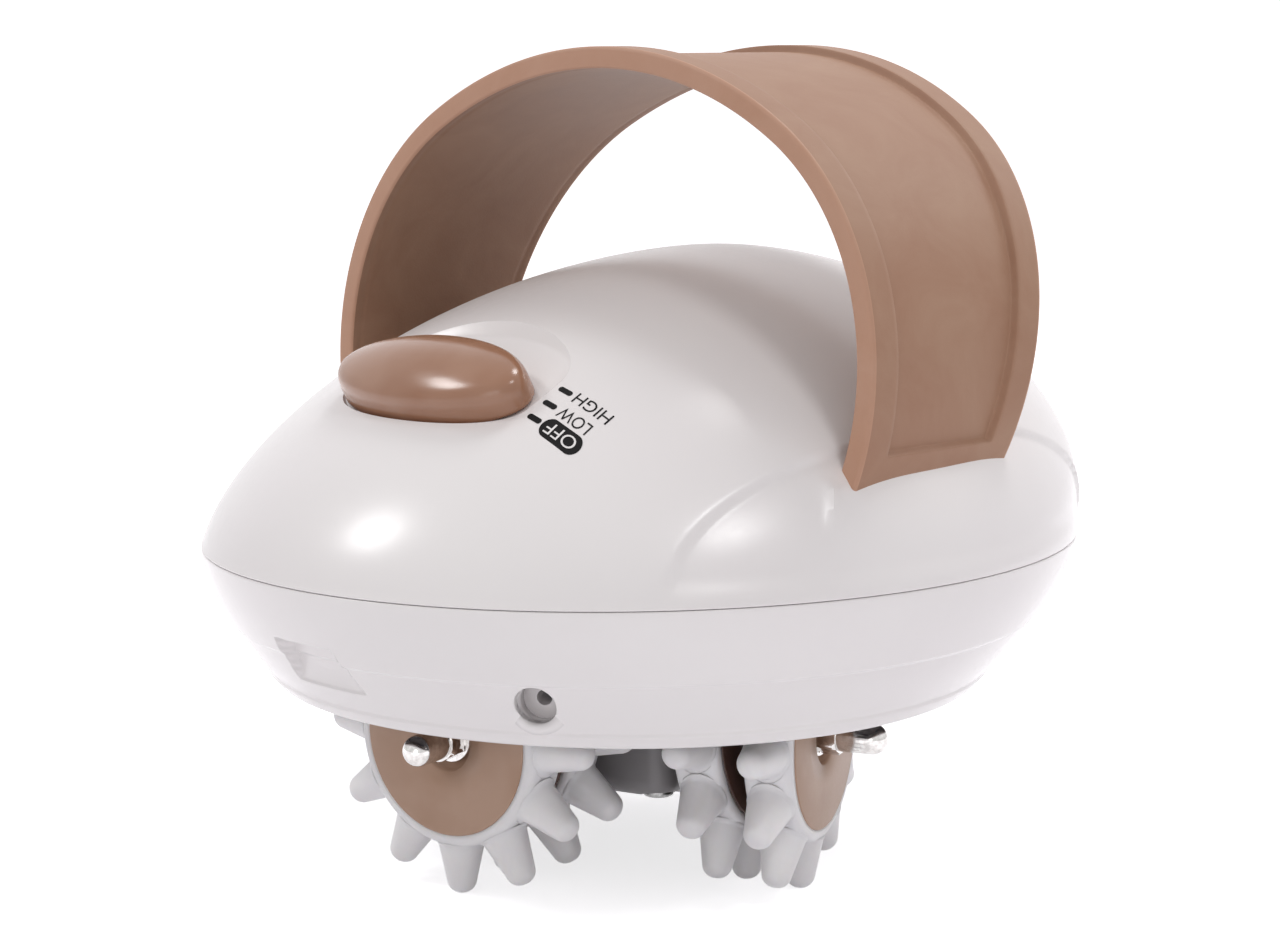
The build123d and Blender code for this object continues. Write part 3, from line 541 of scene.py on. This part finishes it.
def strapMesh(count, grow):
    # the section carried along the path, leaning back and widening with height; grow swells it all round
    s = strap
    x, z, outX, outZ = strapPath(count)
    above = np.clip(z - s["leanZ"], 0, None)
    middle = s["y"] + s["lean"] * above
    half = s["footHalf"] + s["taper"] * above
    recessShare = smoothStep(s["recessEnd"], s["recessEnd"] + 2 * s["recessRound"], z)
    v, w = strapSection(half, recessShare, grow)
    px = x[:, None] + outX[:, None] * w
    pz = z[:, None] + outZ[:, None] * w
    py = middle[:, None] + v
    points = np.stack([px, py, pz], axis=-1)
    rows, cols = points.shape[:2]
    faces = gridQuads(rows, cols).tolist()
    faces.append(list(range(cols - 1, -1, -1)))
    faces.append(list(range((rows - 1) * cols, rows * cols)))
    return points.reshape(-1, 3), faces


dome = addPiece("dome", *domeShell(), "housing", "shell_plastic", whiteAbs)
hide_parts("upper_shell")
cut(dome, looseObject("slotCutter", *strapMesh(strap["cutterStations"], strap["slotGap"])))
cut(dome, looseObject("recessCutter", *recessCutter()))
dome.data.set_sharp_from_angle(angle=math.radians(housing["sharpAngle"]))
print("dome made:", len(dome.data.polygons), "faces")

band = addPiece("handStrap", *strapMesh(strap["stations"], 0.0), "housing", "strap_rubber", strapRubber)
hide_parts("handle_strap")
band.data.materials.append(strapInsidePaintedShade)
band.data.materials.append(strapEdgesPaintedHighlight)
# the section's columns run over the outer face, one edge, the inner face and the other edge; the inner face
# gets painted shade and the edges a painted highlight
outerColumns = 2 * (strap["shelfPoints"] + strap["stepPoints"] + strap["around"]) - 3
edgeColumns = 2 * strap["cornerPoints"] - 1
innerColumns = 3 * strap["around"] - 1
sides = np.repeat([0, 2, 1, 2], [outerColumns, edgeColumns, innerColumns, edgeColumns])
bandPaintedLight = np.zeros(len(band.data.polygons), dtype=np.int32)
wholeRows = (len(bandPaintedLight) - 2) // len(sides)
bandPaintedLight[:wholeRows * len(sides)] = np.tile(sides, wholeRows)
band.data.polygons.foreach_set("material_index", bandPaintedLight)
print("strap made")


# lower band

lower = {
    "rimZ": 32.0, "rimWidth": 123.0, "rimLength": 121.0, "rimY": -5.5, "power": 1.56,
    "creaseZ": 43.4, "creaseStep": 0.5, "creaseEdge": 0.22, "lipTop": 34.4, "lipOut": 0.5, "lipEdge": 0.35,
    "rimRound": 0.6, "roundRows": 5, "sideDrop": 0.3, "rows": 96, "innerRows": 14,
    "notchTop": 46.2, "notchLow": 38.4, "notchHalf": 7.0, "notchFlare": 1.5, "notchDepth": 3.5,
    "notchSpare": 1.9, "notchEdge": 0.16, "notchX": -0.5, "notchPower": 0.6, "notchFront": -40.0,
    "holeR": 3.3, "holeZ": 39.8, "holeTurn": -56.4, "holeFrom": 58.0, "holeTo": 80.0, "holeTurns": 64,
    "tubeR": 5.2, "tubeFrom": 60.0, "tubeTo": 63.6, "tubeFlare": 1.2,
}


def bandPoints(turn, z, inset):
    # stacked ellipses between the seam and the rim, blended by the depth to a power
    s = housing
    b = lower
    share = np.clip((s["seamZ"] - z) / (s["seamZ"] - b["rimZ"]), 0, 1) ** b["power"]
    halfX = (s["width"] * (1 - share) + b["rimWidth"] * share) / 2 - inset
    halfY = (s["length"] * (1 - share) + b["rimLength"] * share) / 2 - inset
    middle = s["seamY"] + (b["rimY"] - s["seamY"]) * share
    return np.stack([halfX * np.cos(turn), middle + halfY * np.sin(turn), z + 0 * turn], axis=-1)


def cutNotch(points, spare):
    # thumb scoop in the front: deepest under its top edge, running out at the bottom
    b = lower
    x = points[..., 0] - b["notchX"]
    z = points[..., 2]
    ramp = np.clip((z - b["notchLow"]) / (b["notchTop"] - b["notchLow"]), 0, 1)
    half = b["notchHalf"] + b["notchFlare"] * (1 - ramp)
    side = smoothStep(-b["notchEdge"], b["notchEdge"], half - np.abs(x))
    top = smoothStep(-b["notchEdge"], b["notchEdge"], b["notchTop"] - z)
    depth = np.clip(b["notchDepth"] * ramp ** b["notchPower"] - spare, 0, None)
    depth = depth * side * top * (points[..., 1] < b["notchFront"])
    moved = points.copy()
    moved[..., 1] += depth
    return moved


def bandShell():
    # rounded seam edge, outer skin with its crease and rim lip, rounded rim, and the inner wall back up
    s = housing
    b = lower
    turn = columns[None, :]
    roundRows = np.linspace(0, math.pi / 2, b["roundRows"])[:, None]
    topZ = s["seamZ"] - s["seamGap"] - s["seamRound"] * (1 - np.sin(roundRows))
    topInset = s["seamRound"] * (1 - np.cos(roundRows))
    sideZ = np.linspace(topZ[0, 0] - b["sideDrop"], b["rimZ"] + b["rimRound"], b["rows"])[:, None]
    sideInset = b["creaseStep"] * smoothStep(-b["creaseEdge"], b["creaseEdge"], b["creaseZ"] - sideZ)
    sideInset = sideInset - b["lipOut"] * smoothStep(-b["lipEdge"], b["lipEdge"], b["lipTop"] - sideZ)
    edgeZ = b["rimZ"] + b["rimRound"] * (1 - np.sin(roundRows))
    edgeInset = sideInset[-1, 0] + b["rimRound"] * (1 - np.cos(roundRows))
    innerZ = np.linspace(b["rimZ"], s["seamZ"] - s["seamGap"], b["innerRows"])[:, None]
    innerInset = np.full_like(innerZ, s["wall"])
    z = np.concatenate([topZ[::-1], sideZ, edgeZ, innerZ])
    inset = np.concatenate([topInset[::-1], sideInset, edgeInset, innerInset])
    spare = np.concatenate([0 * topZ, 0 * sideZ, 0 * edgeZ, b["notchSpare"] + 0 * innerZ])
    rows = cutNotch(bandPoints(turn, z, inset), spare)
    count, cols = rows.shape[:2]
    faces = gridQuads(count, cols, closedRows=True)[:, ::-1].tolist()
    return rows.reshape(-1, 3), faces


def holeFrame():  # the plug hole's line: its start on the rollers' axis, its way out and its side
    turn = math.radians(lower["holeTurn"])
    out = np.array([math.cos(turn), math.sin(turn), 0.0])
    side = np.array([-math.sin(turn), math.cos(turn), 0.0])
    return np.array([0.0, lower["rimY"], lower["holeZ"]]), out, side


def lathe(origin, axis, side, profile, count, closed=False):
    # profile of (distance along the axis, radius) turned about the axis
    up = np.cross(axis, side)
    turn = np.linspace(0, 2 * math.pi, count, endpoint=False)[None, :, None]
    along = np.array([p[0] for p in profile])[:, None, None]
    radius = np.array([p[1] for p in profile])[:, None, None]
    points = origin + along * axis + radius * (np.cos(turn) * side + np.sin(turn) * up)
    faces = gridQuads(len(profile), count, closedRows=closed).tolist()
    if not closed:
        faces.append(list(range(count - 1, -1, -1)))
        faces.append(list(range((len(profile) - 1) * count, len(profile) * count)))
    return points.reshape(-1, 3), faces


skirt = addPiece("lowerBand", *bandShell(), "housing", "shell_plastic", whiteAbs)
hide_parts("lower_shell")
holeOrigin, holeOut, holeSide = holeFrame()
holeProfile = [(lower["holeFrom"], lower["holeR"]), (lower["holeTo"], lower["holeR"])]
holeTool = lathe(holeOrigin, holeOut, holeSide, holeProfile, lower["holeTurns"])
cut(skirt, looseObject("holeCutter", *holeTool))
tubeProfile = [(lower["tubeFrom"], lower["holeR"]), (lower["tubeTo"] + lower["tubeFlare"], lower["holeR"]),
               (lower["tubeTo"], lower["tubeR"]), (lower["tubeFrom"], lower["tubeR"])]
sleeve = lathe(holeOrigin, holeOut, holeSide, tubeProfile, lower["holeTurns"], closed=True)
addPiece("holeSleeve", *sleeve, "housing", "shell_plastic", whiteAbs)
print("lower band made")


# slide button

button = {"halfX": housing["buttonHalfX"], "halfS": housing["buttonHalfS"], "rows": 44, "turns": 160,
          "shares": (0.985, 1.0, 1.0, 0.992, 0.97, 0.93, 0.87, 0.78, 0.65, 0.5, 0.3, 0.12, 0.0),
          "heights": (-2.4, -2.1, 0.6, 1.5, 2.4, 3.15, 3.66, 4.21, 4.88, 5.5, 6.1, 6.4, 6.45)}


def buttonMesh():
    # pebble from its own profile: straight skirt, leaning shoulder, then a low crown
    b = button
    origin, along, out = switchAxes()
    shares = np.array(b["shares"]) * b["halfS"]
    heights = np.array(b["heights"])
    run = np.concatenate([[0.0], np.cumsum(np.hypot(np.diff(shares), np.diff(heights)))])
    fine = np.linspace(0, run[-1], b["rows"])
    share = np.interp(fine, run, shares) / b["halfS"]
    height = np.interp(fine, run, heights)
    for row in (share, height):  # two rounds of smoothing, with the skirt's foot left sharp
        for step in range(2):
            row[3:-1] = (row[2:-2] + 2 * row[3:-1] + row[4:]) / 4
    turn = np.linspace(0, 2 * math.pi, b["turns"], endpoint=False)[None, :]
    share = share[:-1, None]
    height = height[:-1, None] + 0 * turn
    x = b["halfX"] * share * np.cos(turn)
    slide = b["halfS"] * share * np.sin(turn)
    rows = origin + x[..., None] * np.array([1.0, 0, 0]) + slide[..., None] * along + height[..., None] * out
    count, cols = rows.shape[:2]
    poles = np.stack([origin + b["heights"][0] * out, origin + b["heights"][-1] * out])
    faces = gridQuads(count, cols).tolist()
    faces += poleFan(np.arange(cols), count * cols, True).tolist()
    faces += poleFan(np.arange(cols) + (count - 1) * cols, count * cols + 1, False).tolist()
    return np.concatenate([rows.reshape(-1, 3), poles]), faces


slideCap = addPiece("slideCap", *buttonMesh(), "switch_slide", "brown_plastic", brownAbs)
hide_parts("slide_button")
print("button made")


# legend

legend = {"capHeight": 2.15, "barX": 24.6, "barLength": 2.9, "barWidth": 1.0, "inkLift": 0.05,
          "rows": (("OFF", -49.4, 30.6, 6.2), ("LOW", -46.1, 30.2, 6.6), ("HIGH", -42.7, 30.8, 7.8)),
          "pillLength": 8.4, "pillWidth": 3.5, "capsuleTurns": 48, "capsuleRings": 5, "resolution": 4}


def layOnDome(name, flat, faces, lift, material):
    # drops a flat drawing onto the dome and lifts it along the dome's normal by the ink's thickness
    x, y = flat[:, 0], flat[:, 1]
    points = np.stack([x, y, domeHeight(x, y)], axis=-1)
    points = points + lift * domeNormals(points)
    return addPiece(name, points, faces, "housing", None, material)


def wordMesh(word, width, height):  # a word's filled outline, stretched to its size about its middle
    data = bpy.data.curves.new("word", "FONT")
    data.body = word
    data.resolution_u = legend["resolution"]
    helper = bpy.data.objects.new("word", data)
    bpy.context.scene.collection.objects.link(helper)
    mesh = bpy.data.meshes.new_from_object(helper.evaluated_get(bpy.context.evaluated_depsgraph_get()))
    spots = np.array([v.co[:2] for v in mesh.vertices])
    faces = [list(p.vertices) for p in mesh.polygons]
    bpy.data.objects.remove(helper)
    low, high = spots.min(axis=0), spots.max(axis=0)
    share = (spots - (low + high) / 2) / (high - low)
    return share * np.array([width, height]), faces


def capsule(length, width):  # rounded bar as rings of points from its middle line outwards
    cols = legend["capsuleTurns"]
    rows = legend["capsuleRings"]
    turn = np.linspace(0, 2 * math.pi, cols, endpoint=False)
    rings = np.linspace(0.0, 1.0, rows + 1)[1:]
    outline = np.stack([np.cos(turn) * width / 2 + np.sign(np.cos(turn)) * (length - width) / 2,
                        np.sin(turn) * width / 2], axis=-1)
    spots = (rings[:, None, None] * outline).reshape(-1, 2)
    spots = np.concatenate([spots, [[0.0, 0.0]]])
    faces = gridQuads(rows, cols)[:, ::-1].tolist()
    faces += poleFan(np.arange(cols), rows * cols, False).tolist()
    return spots, faces


def makeLegend():
    # rows of (word, y, x, width), each with a bar beside the button; OFF is white on a black pill
    s = legend
    for word, y, x, width in s["rows"]:
        spots, faces = wordMesh(word, width, s["capHeight"])
        placed = np.stack([x - spots[:, 0], y - spots[:, 1]], axis=-1)
        onPill = word == "OFF"
        layOnDome("legend" + word.title(), placed, faces, s["inkLift"] * (2 if onPill else 1),
                  whiteInk if onPill else blackInk)
        if onPill:
            spots, faces = capsule(s["pillLength"], s["pillWidth"])
            layOnDome("legendPill", spots + np.array([x, y]), faces, s["inkLift"], blackInk)
        spots, faces = capsule(s["barLength"], s["barWidth"])
        barSpots = spots + np.array([s["barX"], y])
        layOnDome("legendBar" + word.title(), barSpots, faces, s["inkLift"], blackInk)


makeLegend()
print("legend made")


# rollers

roller = {
    "y": -5.9, "axleZ": 27.0, "turn": 17.0, "offset": 9.5, "spots": {"inner": 26.6, "outer": 39.0},
    "skew": 7.0, "innerPhase": 50.0, "discR": 16.3, "ringR": 18.3, "ringHalf": 4.2, "ringRound": 1.3,
    "knobs": 12, "knobTip": 27.0, "knobBaseR": 3.75, "knobTipR": 2.55, "flare": 1.1, "knobSideMax": 4.05,
    "knobSink": 0.35, "tipHeight": 0.92, "tipPower": 0.85, "tipFrom": 0.12,  # the last in radians
    "flareRows": 7, "coneRows": 6, "tipRows": 9, "roundRows": 6, "knobTurns": 28, "ringTurns": 144,
    "discTurns": 120,
    "discProud": 0.2, "discRound": 0.35, "rimWall": 1.8, "backShy": 0.3, "backFloor": 2.4, "backFloorR": 4.9,
    "faceR": 9.0, "seatRound": 0.3, "recessR": 5.2, "recessFloor": 2.8, "recessRise": 0.9,
    "boreR": 2.1, "hubR": 4.5, "innerSeatR": 4.6, "innerSeat": (4.3, 3.8),
}


def shaftAxes(i):  # a shaft's start and its own directions: out along it, left across it, and up
    r = roller
    turn = math.radians(r["turn"] + 90 * i)
    out = np.array([math.cos(turn), math.sin(turn), 0.0])
    left = np.array([-math.sin(turn), math.cos(turn), 0.0])
    up = np.array([0.0, 0.0, 1.0])
    origin = np.array([0.0, r["y"], r["axleZ"]]) - r["offset"] * left
    return origin, out, left, up


def wheelAxes(i, place):
    # the wheel leans on its shaft by the skew, about an upright line turned by its phase
    r = roller
    origin, out, left, up = shaftAxes(i)
    phase = math.radians(r["innerPhase"] if place == "inner" else 0.0)
    skew = math.radians(r["skew"] if i % 2 == 0 else -r["skew"])
    pivot = math.cos(phase) * up - math.sin(phase) * left
    across = math.cos(phase) * left + math.sin(phase) * up
    axis = math.cos(skew) * out + math.sin(skew) * across
    acrossNow = math.cos(skew) * across - math.sin(skew) * out
    leftNow = math.cos(phase) * acrossNow - math.sin(phase) * pivot
    upNow = math.cos(phase) * pivot + math.sin(phase) * acrossNow
    return origin + r["spots"][place] * out, axis, leftNow, upNow


def knobProfile():
    # concave flare out of the ring, a slow taper, then a blunt round end
    r = roller
    start = r["ringR"] - r["knobSink"]
    flareTurn = np.linspace(0, math.pi / 2, r["flareRows"])
    flareH = start + r["flare"] * (1 - np.cos(flareTurn))
    flareR = r["knobBaseR"] + r["flare"] * (1 - np.sin(flareTurn))
    tipR = r["knobTipR"]
    tipH = tipR * r["tipHeight"]
    endTurn = np.linspace(r["tipFrom"], math.pi / 2, r["tipRows"])
    endH = r["knobTip"] - tipH + tipH * np.sin(endTurn)
    endR = tipR * np.cos(endTurn) ** r["tipPower"]
    coneH = np.linspace(flareH[-1], endH[0], r["coneRows"])[1:-1]
    coneR = np.interp(coneH, [flareH[-1], endH[0]], [flareR[-1], endR[0]])
    height = np.concatenate([flareH, coneH, endH[:-1]])
    radius = np.concatenate([flareR, coneR, endR[:-1]])
    return height, radius, endH[-1]


def ringMesh(i, place):
    # round-edged ring turned about the wheel's axis, with closed knobs standing square on its rim
    r = roller
    origin, axis, left, up = wheelAxes(i, place)
    rounds = np.linspace(0, math.pi / 2, r["roundRows"])
    outward = r["ringR"] - r["ringRound"] + r["ringRound"] * np.sin(rounds)
    side = r["ringHalf"] - r["ringRound"] + r["ringRound"] * np.cos(rounds)
    alongRow = np.concatenate([[r["ringHalf"]], side, -side[::-1], [-r["ringHalf"]]])
    radiusRow = np.concatenate([[r["discR"]], outward, outward[::-1], [r["discR"]]])
    turn = np.linspace(0, 2 * math.pi, r["ringTurns"], endpoint=False)
    circle = np.cos(turn)[:, None] * left + np.sin(turn)[:, None] * up
    ring = origin + alongRow[:, None, None] * axis + radiusRow[:, None, None] * circle[None]
    faces = gridQuads(len(alongRow), len(turn), closedRows=True)[:, ::-1]
    points = [ring.reshape(-1, 3)]
    count = len(points[0])
    height, radius, tip = knobProfile()
    spin = np.linspace(0, 2 * math.pi, r["knobTurns"], endpoint=False)
    sideways = np.minimum(radius, r["knobSideMax"])[:, None] * np.cos(spin)
    ringways = radius[:, None] * np.sin(spin)
    knobFaces = gridQuads(len(height), len(spin))[:, ::-1]
    foot = np.arange(len(spin))
    size = len(height) * len(spin)
    knobEnds = np.concatenate([poleFan(foot + size - len(spin), size, True), poleFan(foot, size + 1, False)])
    allFaces = faces.tolist()
    for k in range(r["knobs"]):
        angle = -math.pi / 2 + 2 * math.pi * k / r["knobs"]
        outDir = math.cos(angle) * left + math.sin(angle) * up
        tangent = -math.sin(angle) * left + math.cos(angle) * up
        knob = origin + height[:, None, None] * outDir
        knob = knob + sideways[..., None] * axis + ringways[..., None] * tangent
        poles = [origin + tip * outDir, origin + height[0] * outDir]
        points.append(np.concatenate([knob.reshape(-1, 3), poles]))
        allFaces += (knobFaces + count).tolist()
        allFaces += (knobEnds + count).tolist()
        count += len(points[-1])
    return np.concatenate(points), allFaces


def discMesh(i, place):
    # lathe-like disc: rounded rim, flat face, and a seat for the nut that stays square to the shaft
    r = roller
    origin, axis, left, up = wheelAxes(i, place)
    shaftOrigin, out, shaftLeft, shaftUp = shaftAxes(i)
    base = shaftOrigin + r["spots"][place] * out
    face = r["ringHalf"] + r["discProud"]
    e = r["discRound"]
    low = -r["ringHalf"] + r["backShy"]
    rimR = r["discR"]
    along = np.array([low, low, face - e, face - 0.3 * e, face, face, face])
    radius = np.array([rimR - r["rimWall"], rimR, rimR, rimR - 0.3 * e, rimR - e, r["faceR"],
                       r["recessR"] + r["seatRound"]])
    turn = np.linspace(0, 2 * math.pi, r["discTurns"], endpoint=False)
    tilted = np.cos(turn)[:, None] * left + np.sin(turn)[:, None] * up
    square = np.cos(turn)[:, None] * shaftLeft + np.sin(turn)[:, None] * shaftUp
    outer = origin + along[:, None, None] * axis + radius[:, None, None] * tilted[None]
    if place == "outer":
        seatAlong = np.array([r["recessFloor"] + r["recessRise"], r["recessFloor"], r["recessFloor"]])
        seatRadius = np.array([r["recessR"], r["recessR"] - 0.1, r["boreR"]])
    else:
        seatTop, seatFloor = r["innerSeat"]
        seatAlong = np.array([seatTop, seatFloor, seatFloor])
        seatRadius = np.array([r["innerSeatR"], r["hubR"], r["boreR"]])
    seat = base + seatAlong[:, None, None] * out + seatRadius[:, None, None] * square[None]
    backRadius = np.array([r["boreR"], r["hubR"]])
    back = base - r["ringHalf"] * out + backRadius[:, None, None] * square[None]
    floorRadius = np.array([r["backFloorR"], rimR - r["rimWall"]])
    floor = origin + (face - r["backFloor"]) * axis + floorRadius[:, None, None] * tilted[None]
    rows = np.concatenate([outer, seat, back, floor])
    faces = gridQuads(rows.shape[0], len(turn), closedRows=True).tolist()
    return rows.reshape(-1, 3), faces


def makeWheels():  # four pairs of wheels; the inner wheels' discs get a darker brown as painted shade, for the shade of the outer ones
    for i in range(4):
        for place in ("inner", "outer"):
            number = str(i + 1)
            body = "roller_" + number
            tyre = addPiece(place + "Tyre" + number, *ringMesh(i, place), body, "ring_rubber", ringRubber)
            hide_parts(place + "_ring_" + number)
            disc = addPiece(place + "Hub" + number, *discMesh(i, place), body, "brown_plastic",
                            discAbs if place == "outer" else paintedShadeAbs)
            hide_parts(place + "_disc_" + number)


makeWheels()
print("wheels made")


# nuts and washers

nut = {"start": 42.6, "flats": 6.0, "hex": 3.8, "chamfer": 0.45, "domeR": 2.6, "height": 12.0,
       "cornerShare": 1.02, "neckStep": 0.12, "capRows": 12, "turns": 96, "sharpAngle": 32.0,
       "washerR": 4.0, "washerThick": 0.8, "washerFrom": 41.8, "washerBore": 1.6, "washerRound": (0.15, 0.12),
       "washerTurns": 72}


def nutMesh(i):
    # six-sided body with turned-down corners, a short neck and a half-ball cap
    n = nut
    origin, out, left, up = shaftAxes(i)
    turn = np.linspace(0, 2 * math.pi, n["turns"], endpoint=False)
    apothem = n["flats"] / 2
    hexRadius = apothem / np.cos((turn + math.pi / 6) % (math.pi / 3) - math.pi / 6)
    turned = np.minimum(hexRadius, apothem * n["cornerShare"])
    domeStart = n["height"] - n["domeR"]
    lift = np.linspace(0, math.pi / 2, n["capRows"])[:-1]
    along = [0.0, n["chamfer"] * 0.5, n["hex"] - n["chamfer"], n["hex"], n["hex"] + 0.02]
    radii = [turned, hexRadius, hexRadius, turned, np.full_like(turn, n["domeR"] + n["neckStep"])]
    along = np.concatenate([along, domeStart + n["domeR"] * np.sin(lift)])[:, None, None] + n["start"]
    cap = n["domeR"] * np.cos(lift)[:, None] * np.ones_like(turn)
    radii = np.concatenate([radii, cap])[..., None]
    rows = origin + along * out + radii * (np.cos(turn)[:, None] * left + np.sin(turn)[:, None] * up)[None]
    count, cols = rows.shape[:2]
    top = origin + (n["start"] + n["height"]) * out
    faces = gridQuads(count, cols).tolist()
    faces.append(list(range(cols - 1, -1, -1)))
    faces += poleFan(np.arange(cols) + (count - 1) * cols, count * cols, False).tolist()
    return np.concatenate([rows.reshape(-1, 3), [top]]), faces


def makeNuts():
    # an acorn nut and a plain washer on each shaft; the washer's profile is (along the shaft, radius)
    n = nut
    sharp = math.radians(n["sharpAngle"])
    bevel, edge = n["washerRound"]
    low = n["washerFrom"]
    high = low + n["washerThick"]
    profile = [(low, n["washerBore"]), (high, n["washerBore"]), (high, n["washerR"] - bevel),
               (high - edge, n["washerR"]), (low + edge, n["washerR"]), (low, n["washerR"] - bevel)]
    for i in range(4):
        number = str(i + 1)
        piece = addPiece("acornNut" + number, *nutMesh(i), "roller_" + number, "chrome_nut", nickel)
        piece.data.set_sharp_from_angle(angle=sharp)
        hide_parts("cap_nut_" + number)
        origin, out, left, up = shaftAxes(i)
        ring = lathe(origin, out, left, profile, n["washerTurns"], closed=True)
        washer = addPiece("plainWasher" + number, *ring, "roller_" + number, "steel", nickel)
        washer.data.set_sharp_from_angle(angle=sharp)
        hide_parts("washer_" + number)


makeNuts()
print("nuts made")


# carried-over parts

finishes = {
    "shell_plastic": whiteAbs, "brown_plastic": brownAbs, "strap_rubber": strapRubber,
    "ring_rubber": ringRubber, "dark_plastic": darkAbs, "steel": steel, "zinc_steel": steel,
    "board": boardGreen, "magnet": darkAbs, "brass": brass, "gear_plastic": gearWhite, "chrome_nut": nickel,
}


def dressNodes():  # gives each solid the finish of its material slot
    slots = {part["node"]: part["material_slot"] for part in frame["record"]["subparts"]}
    for name, node in frame["nodes"].items():
        for place in node.material_slots:
            place.material = finishes[slots[name]]


dressNodes()
print("CAD parts dressed")


# stage, light and camera

stage = {"floor": "#F9F8FC", "roughness": 0.9, "glow": 0.68, "halfWidth": 2500.0, "depth": 1500.0,
         "bend": 600.0, "bendRows": 24, "wallHeight": 2500.0}


def seenDirectly(owner):
    # 1 for rays from the camera, off gloss or through glass, 0 for the rays that light the part
    path = addNode(owner, "ShaderNodeLightPath")
    total = (path, "Is Camera Ray")
    for ray in ("Is Glossy Ray", "Is Transmission Ray"):
        either = addNode(owner, "ShaderNodeMath", options={"operation": "MAXIMUM"},
                         links={0: total, 1: (path, ray)})
        total = (either, "Value")
    return total


def stageMaterial():
    # matt paper that keeps the shadow, with a glow that only the camera, gloss and glass see
    material, surface = newMaterial("pale studio paper", {"Base Color": colour(stage["floor"]),
                                                          "Roughness": stage["roughness"]})
    seen = addNode(material, "ShaderNodeMath", {1: stage["glow"]}, {"operation": "MULTIPLY"},
                   {0: seenDirectly(material)})
    glow = addNode(material, "ShaderNodeEmission", {"Color": (1, 1, 1, 1)},
                   links={"Strength": (seen, "Value")})
    total = addNode(material, "ShaderNodeAddShader", links={0: (surface, "BSDF"), 1: (glow, "Emission")})
    output = material.node_tree.nodes["Material Output"]
    link(material, total, "Shader", output, "Surface")
    return material


def makeStage():
    # floor that runs back and curves up into a wall, seen along the camera's heading
    s = stage
    heading = math.radians(camera["azimuth"])
    away = np.array([-math.sin(heading), math.cos(heading), 0.0])
    side = np.array([math.cos(heading), math.sin(heading), 0.0])
    bend = np.linspace(0, math.pi / 2, s["bendRows"])
    run = np.concatenate([[-s["depth"]], s["depth"] + s["bend"] * np.sin(bend), [s["depth"] + s["bend"]]])
    rise = np.concatenate([[0.0], s["bend"] * (1 - np.cos(bend)), [s["wallHeight"]]])
    sideways = np.array([-s["halfWidth"], s["halfWidth"]])[None, :, None] * side
    points = run[:, None, None] * away + rise[:, None, None] * np.array([0, 0, 1.0]) + sideways
    rows = len(run)
    first = np.arange(rows - 1) * 2
    faces = np.stack([first, first + 1, first + 3, first + 2], axis=-1).tolist()
    floor = looseObject("studioPaper", points.reshape(-1, 3), faces)
    floor.data.materials.append(stageMaterial())
    floor.data.polygons.foreach_set("use_smooth", np.ones(len(faces), dtype=bool))


camera = {"azimuth": 45.5, "elevation": 8.5, "distance": 519.0, "target": (0.0, -2.0, 66.4),
          "lens": 83.475, "sensor": 36.0}


def aim(thing, place, target):  # puts a camera or lamp in its place and turns it to its target
    thing.location = [c * mm for c in place]
    thing.rotation_euler = (Vector(target) - Vector(place)).to_track_quat("-Z", "Y").to_euler()


def makeCamera():  # stands back from the target along the azimuth and the elevation
    c = camera
    turn = math.radians(c["azimuth"])
    tilt = math.radians(c["elevation"])
    back = np.array([math.sin(turn) * math.cos(tilt), -math.cos(turn) * math.cos(tilt), math.sin(tilt)])
    place = np.array(c["target"]) + c["distance"] * back
    data = bpy.data.cameras.new("camera")
    data.lens = c["lens"]
    data.sensor_width = c["sensor"]
    data.clip_start = 0.01
    view = bpy.data.objects.new("camera", data)
    bpy.context.scene.collection.objects.link(view)
    aim(view, place.tolist(), c["target"])
    bpy.context.scene.camera = view


lamps = {  # heading and height in degrees from the object's middle, distance and size in mm, power in watts
    "leftSoftbox": {"heading": -133, "height": 44, "distance": 900, "size": 190, "power": 1.4},
    "rightSoftbox": {"heading": -8, "height": 51, "distance": 900, "size": 190, "power": 1.05},
    "overhead": {"heading": 90, "height": 67, "distance": 900, "size": 280, "power": 2.1},
    "lowFront": {"heading": -62, "height": 4, "distance": 900, "size": 450, "power": 0.6},
    "rear": {"heading": 80, "height": 34, "distance": 900, "size": 260, "power": 1.1},
}
fill = {"colour": "#FFFCFB", "strength": 0.44, "middle": (0.0, 0.0, 70.0)}


def makeLights():
    # round softboxes aimed at the part's middle, and a world that fills the shade and is seen as white
    middle = fill["middle"]
    for name, lamp in lamps.items():
        heading = math.radians(lamp["heading"])
        height = math.radians(lamp["height"])
        level = np.array([math.cos(heading), math.sin(heading), 0.0])
        way = level * math.cos(height) + np.array([0.0, 0.0, math.sin(height)])
        data = bpy.data.lights.new(name, "AREA")
        data.shape = "DISK"
        data.size = lamp["size"] * mm
        data.energy = lamp["power"]
        light = bpy.data.objects.new(name, data)
        bpy.context.scene.collection.objects.link(light)
        aim(light, (np.array(middle) + lamp["distance"] * way).tolist(), middle)
    world = bpy.data.worlds.new("studio")
    bpy.context.scene.world = world
    world.use_nodes = True
    soft = world.node_tree.nodes["Background"]
    soft.inputs["Color"].default_value = colour(fill["colour"])
    soft.inputs["Strength"].default_value = fill["strength"]
    white = addNode(world, "ShaderNodeBackground", {"Color": (1, 1, 1, 1)})
    mix = addNode(world, "ShaderNodeMixShader", links={"Fac": seenDirectly(world), 1: (soft, "Background"),
                                                       2: (white, "Background")})
    link(world, mix, "Shader", world.node_tree.nodes["World Output"], "Surface")


makeStage()
makeCamera()
makeLights()
bpy.context.scene.view_settings.view_transform = "Standard"
print("stage, camera and lights made")
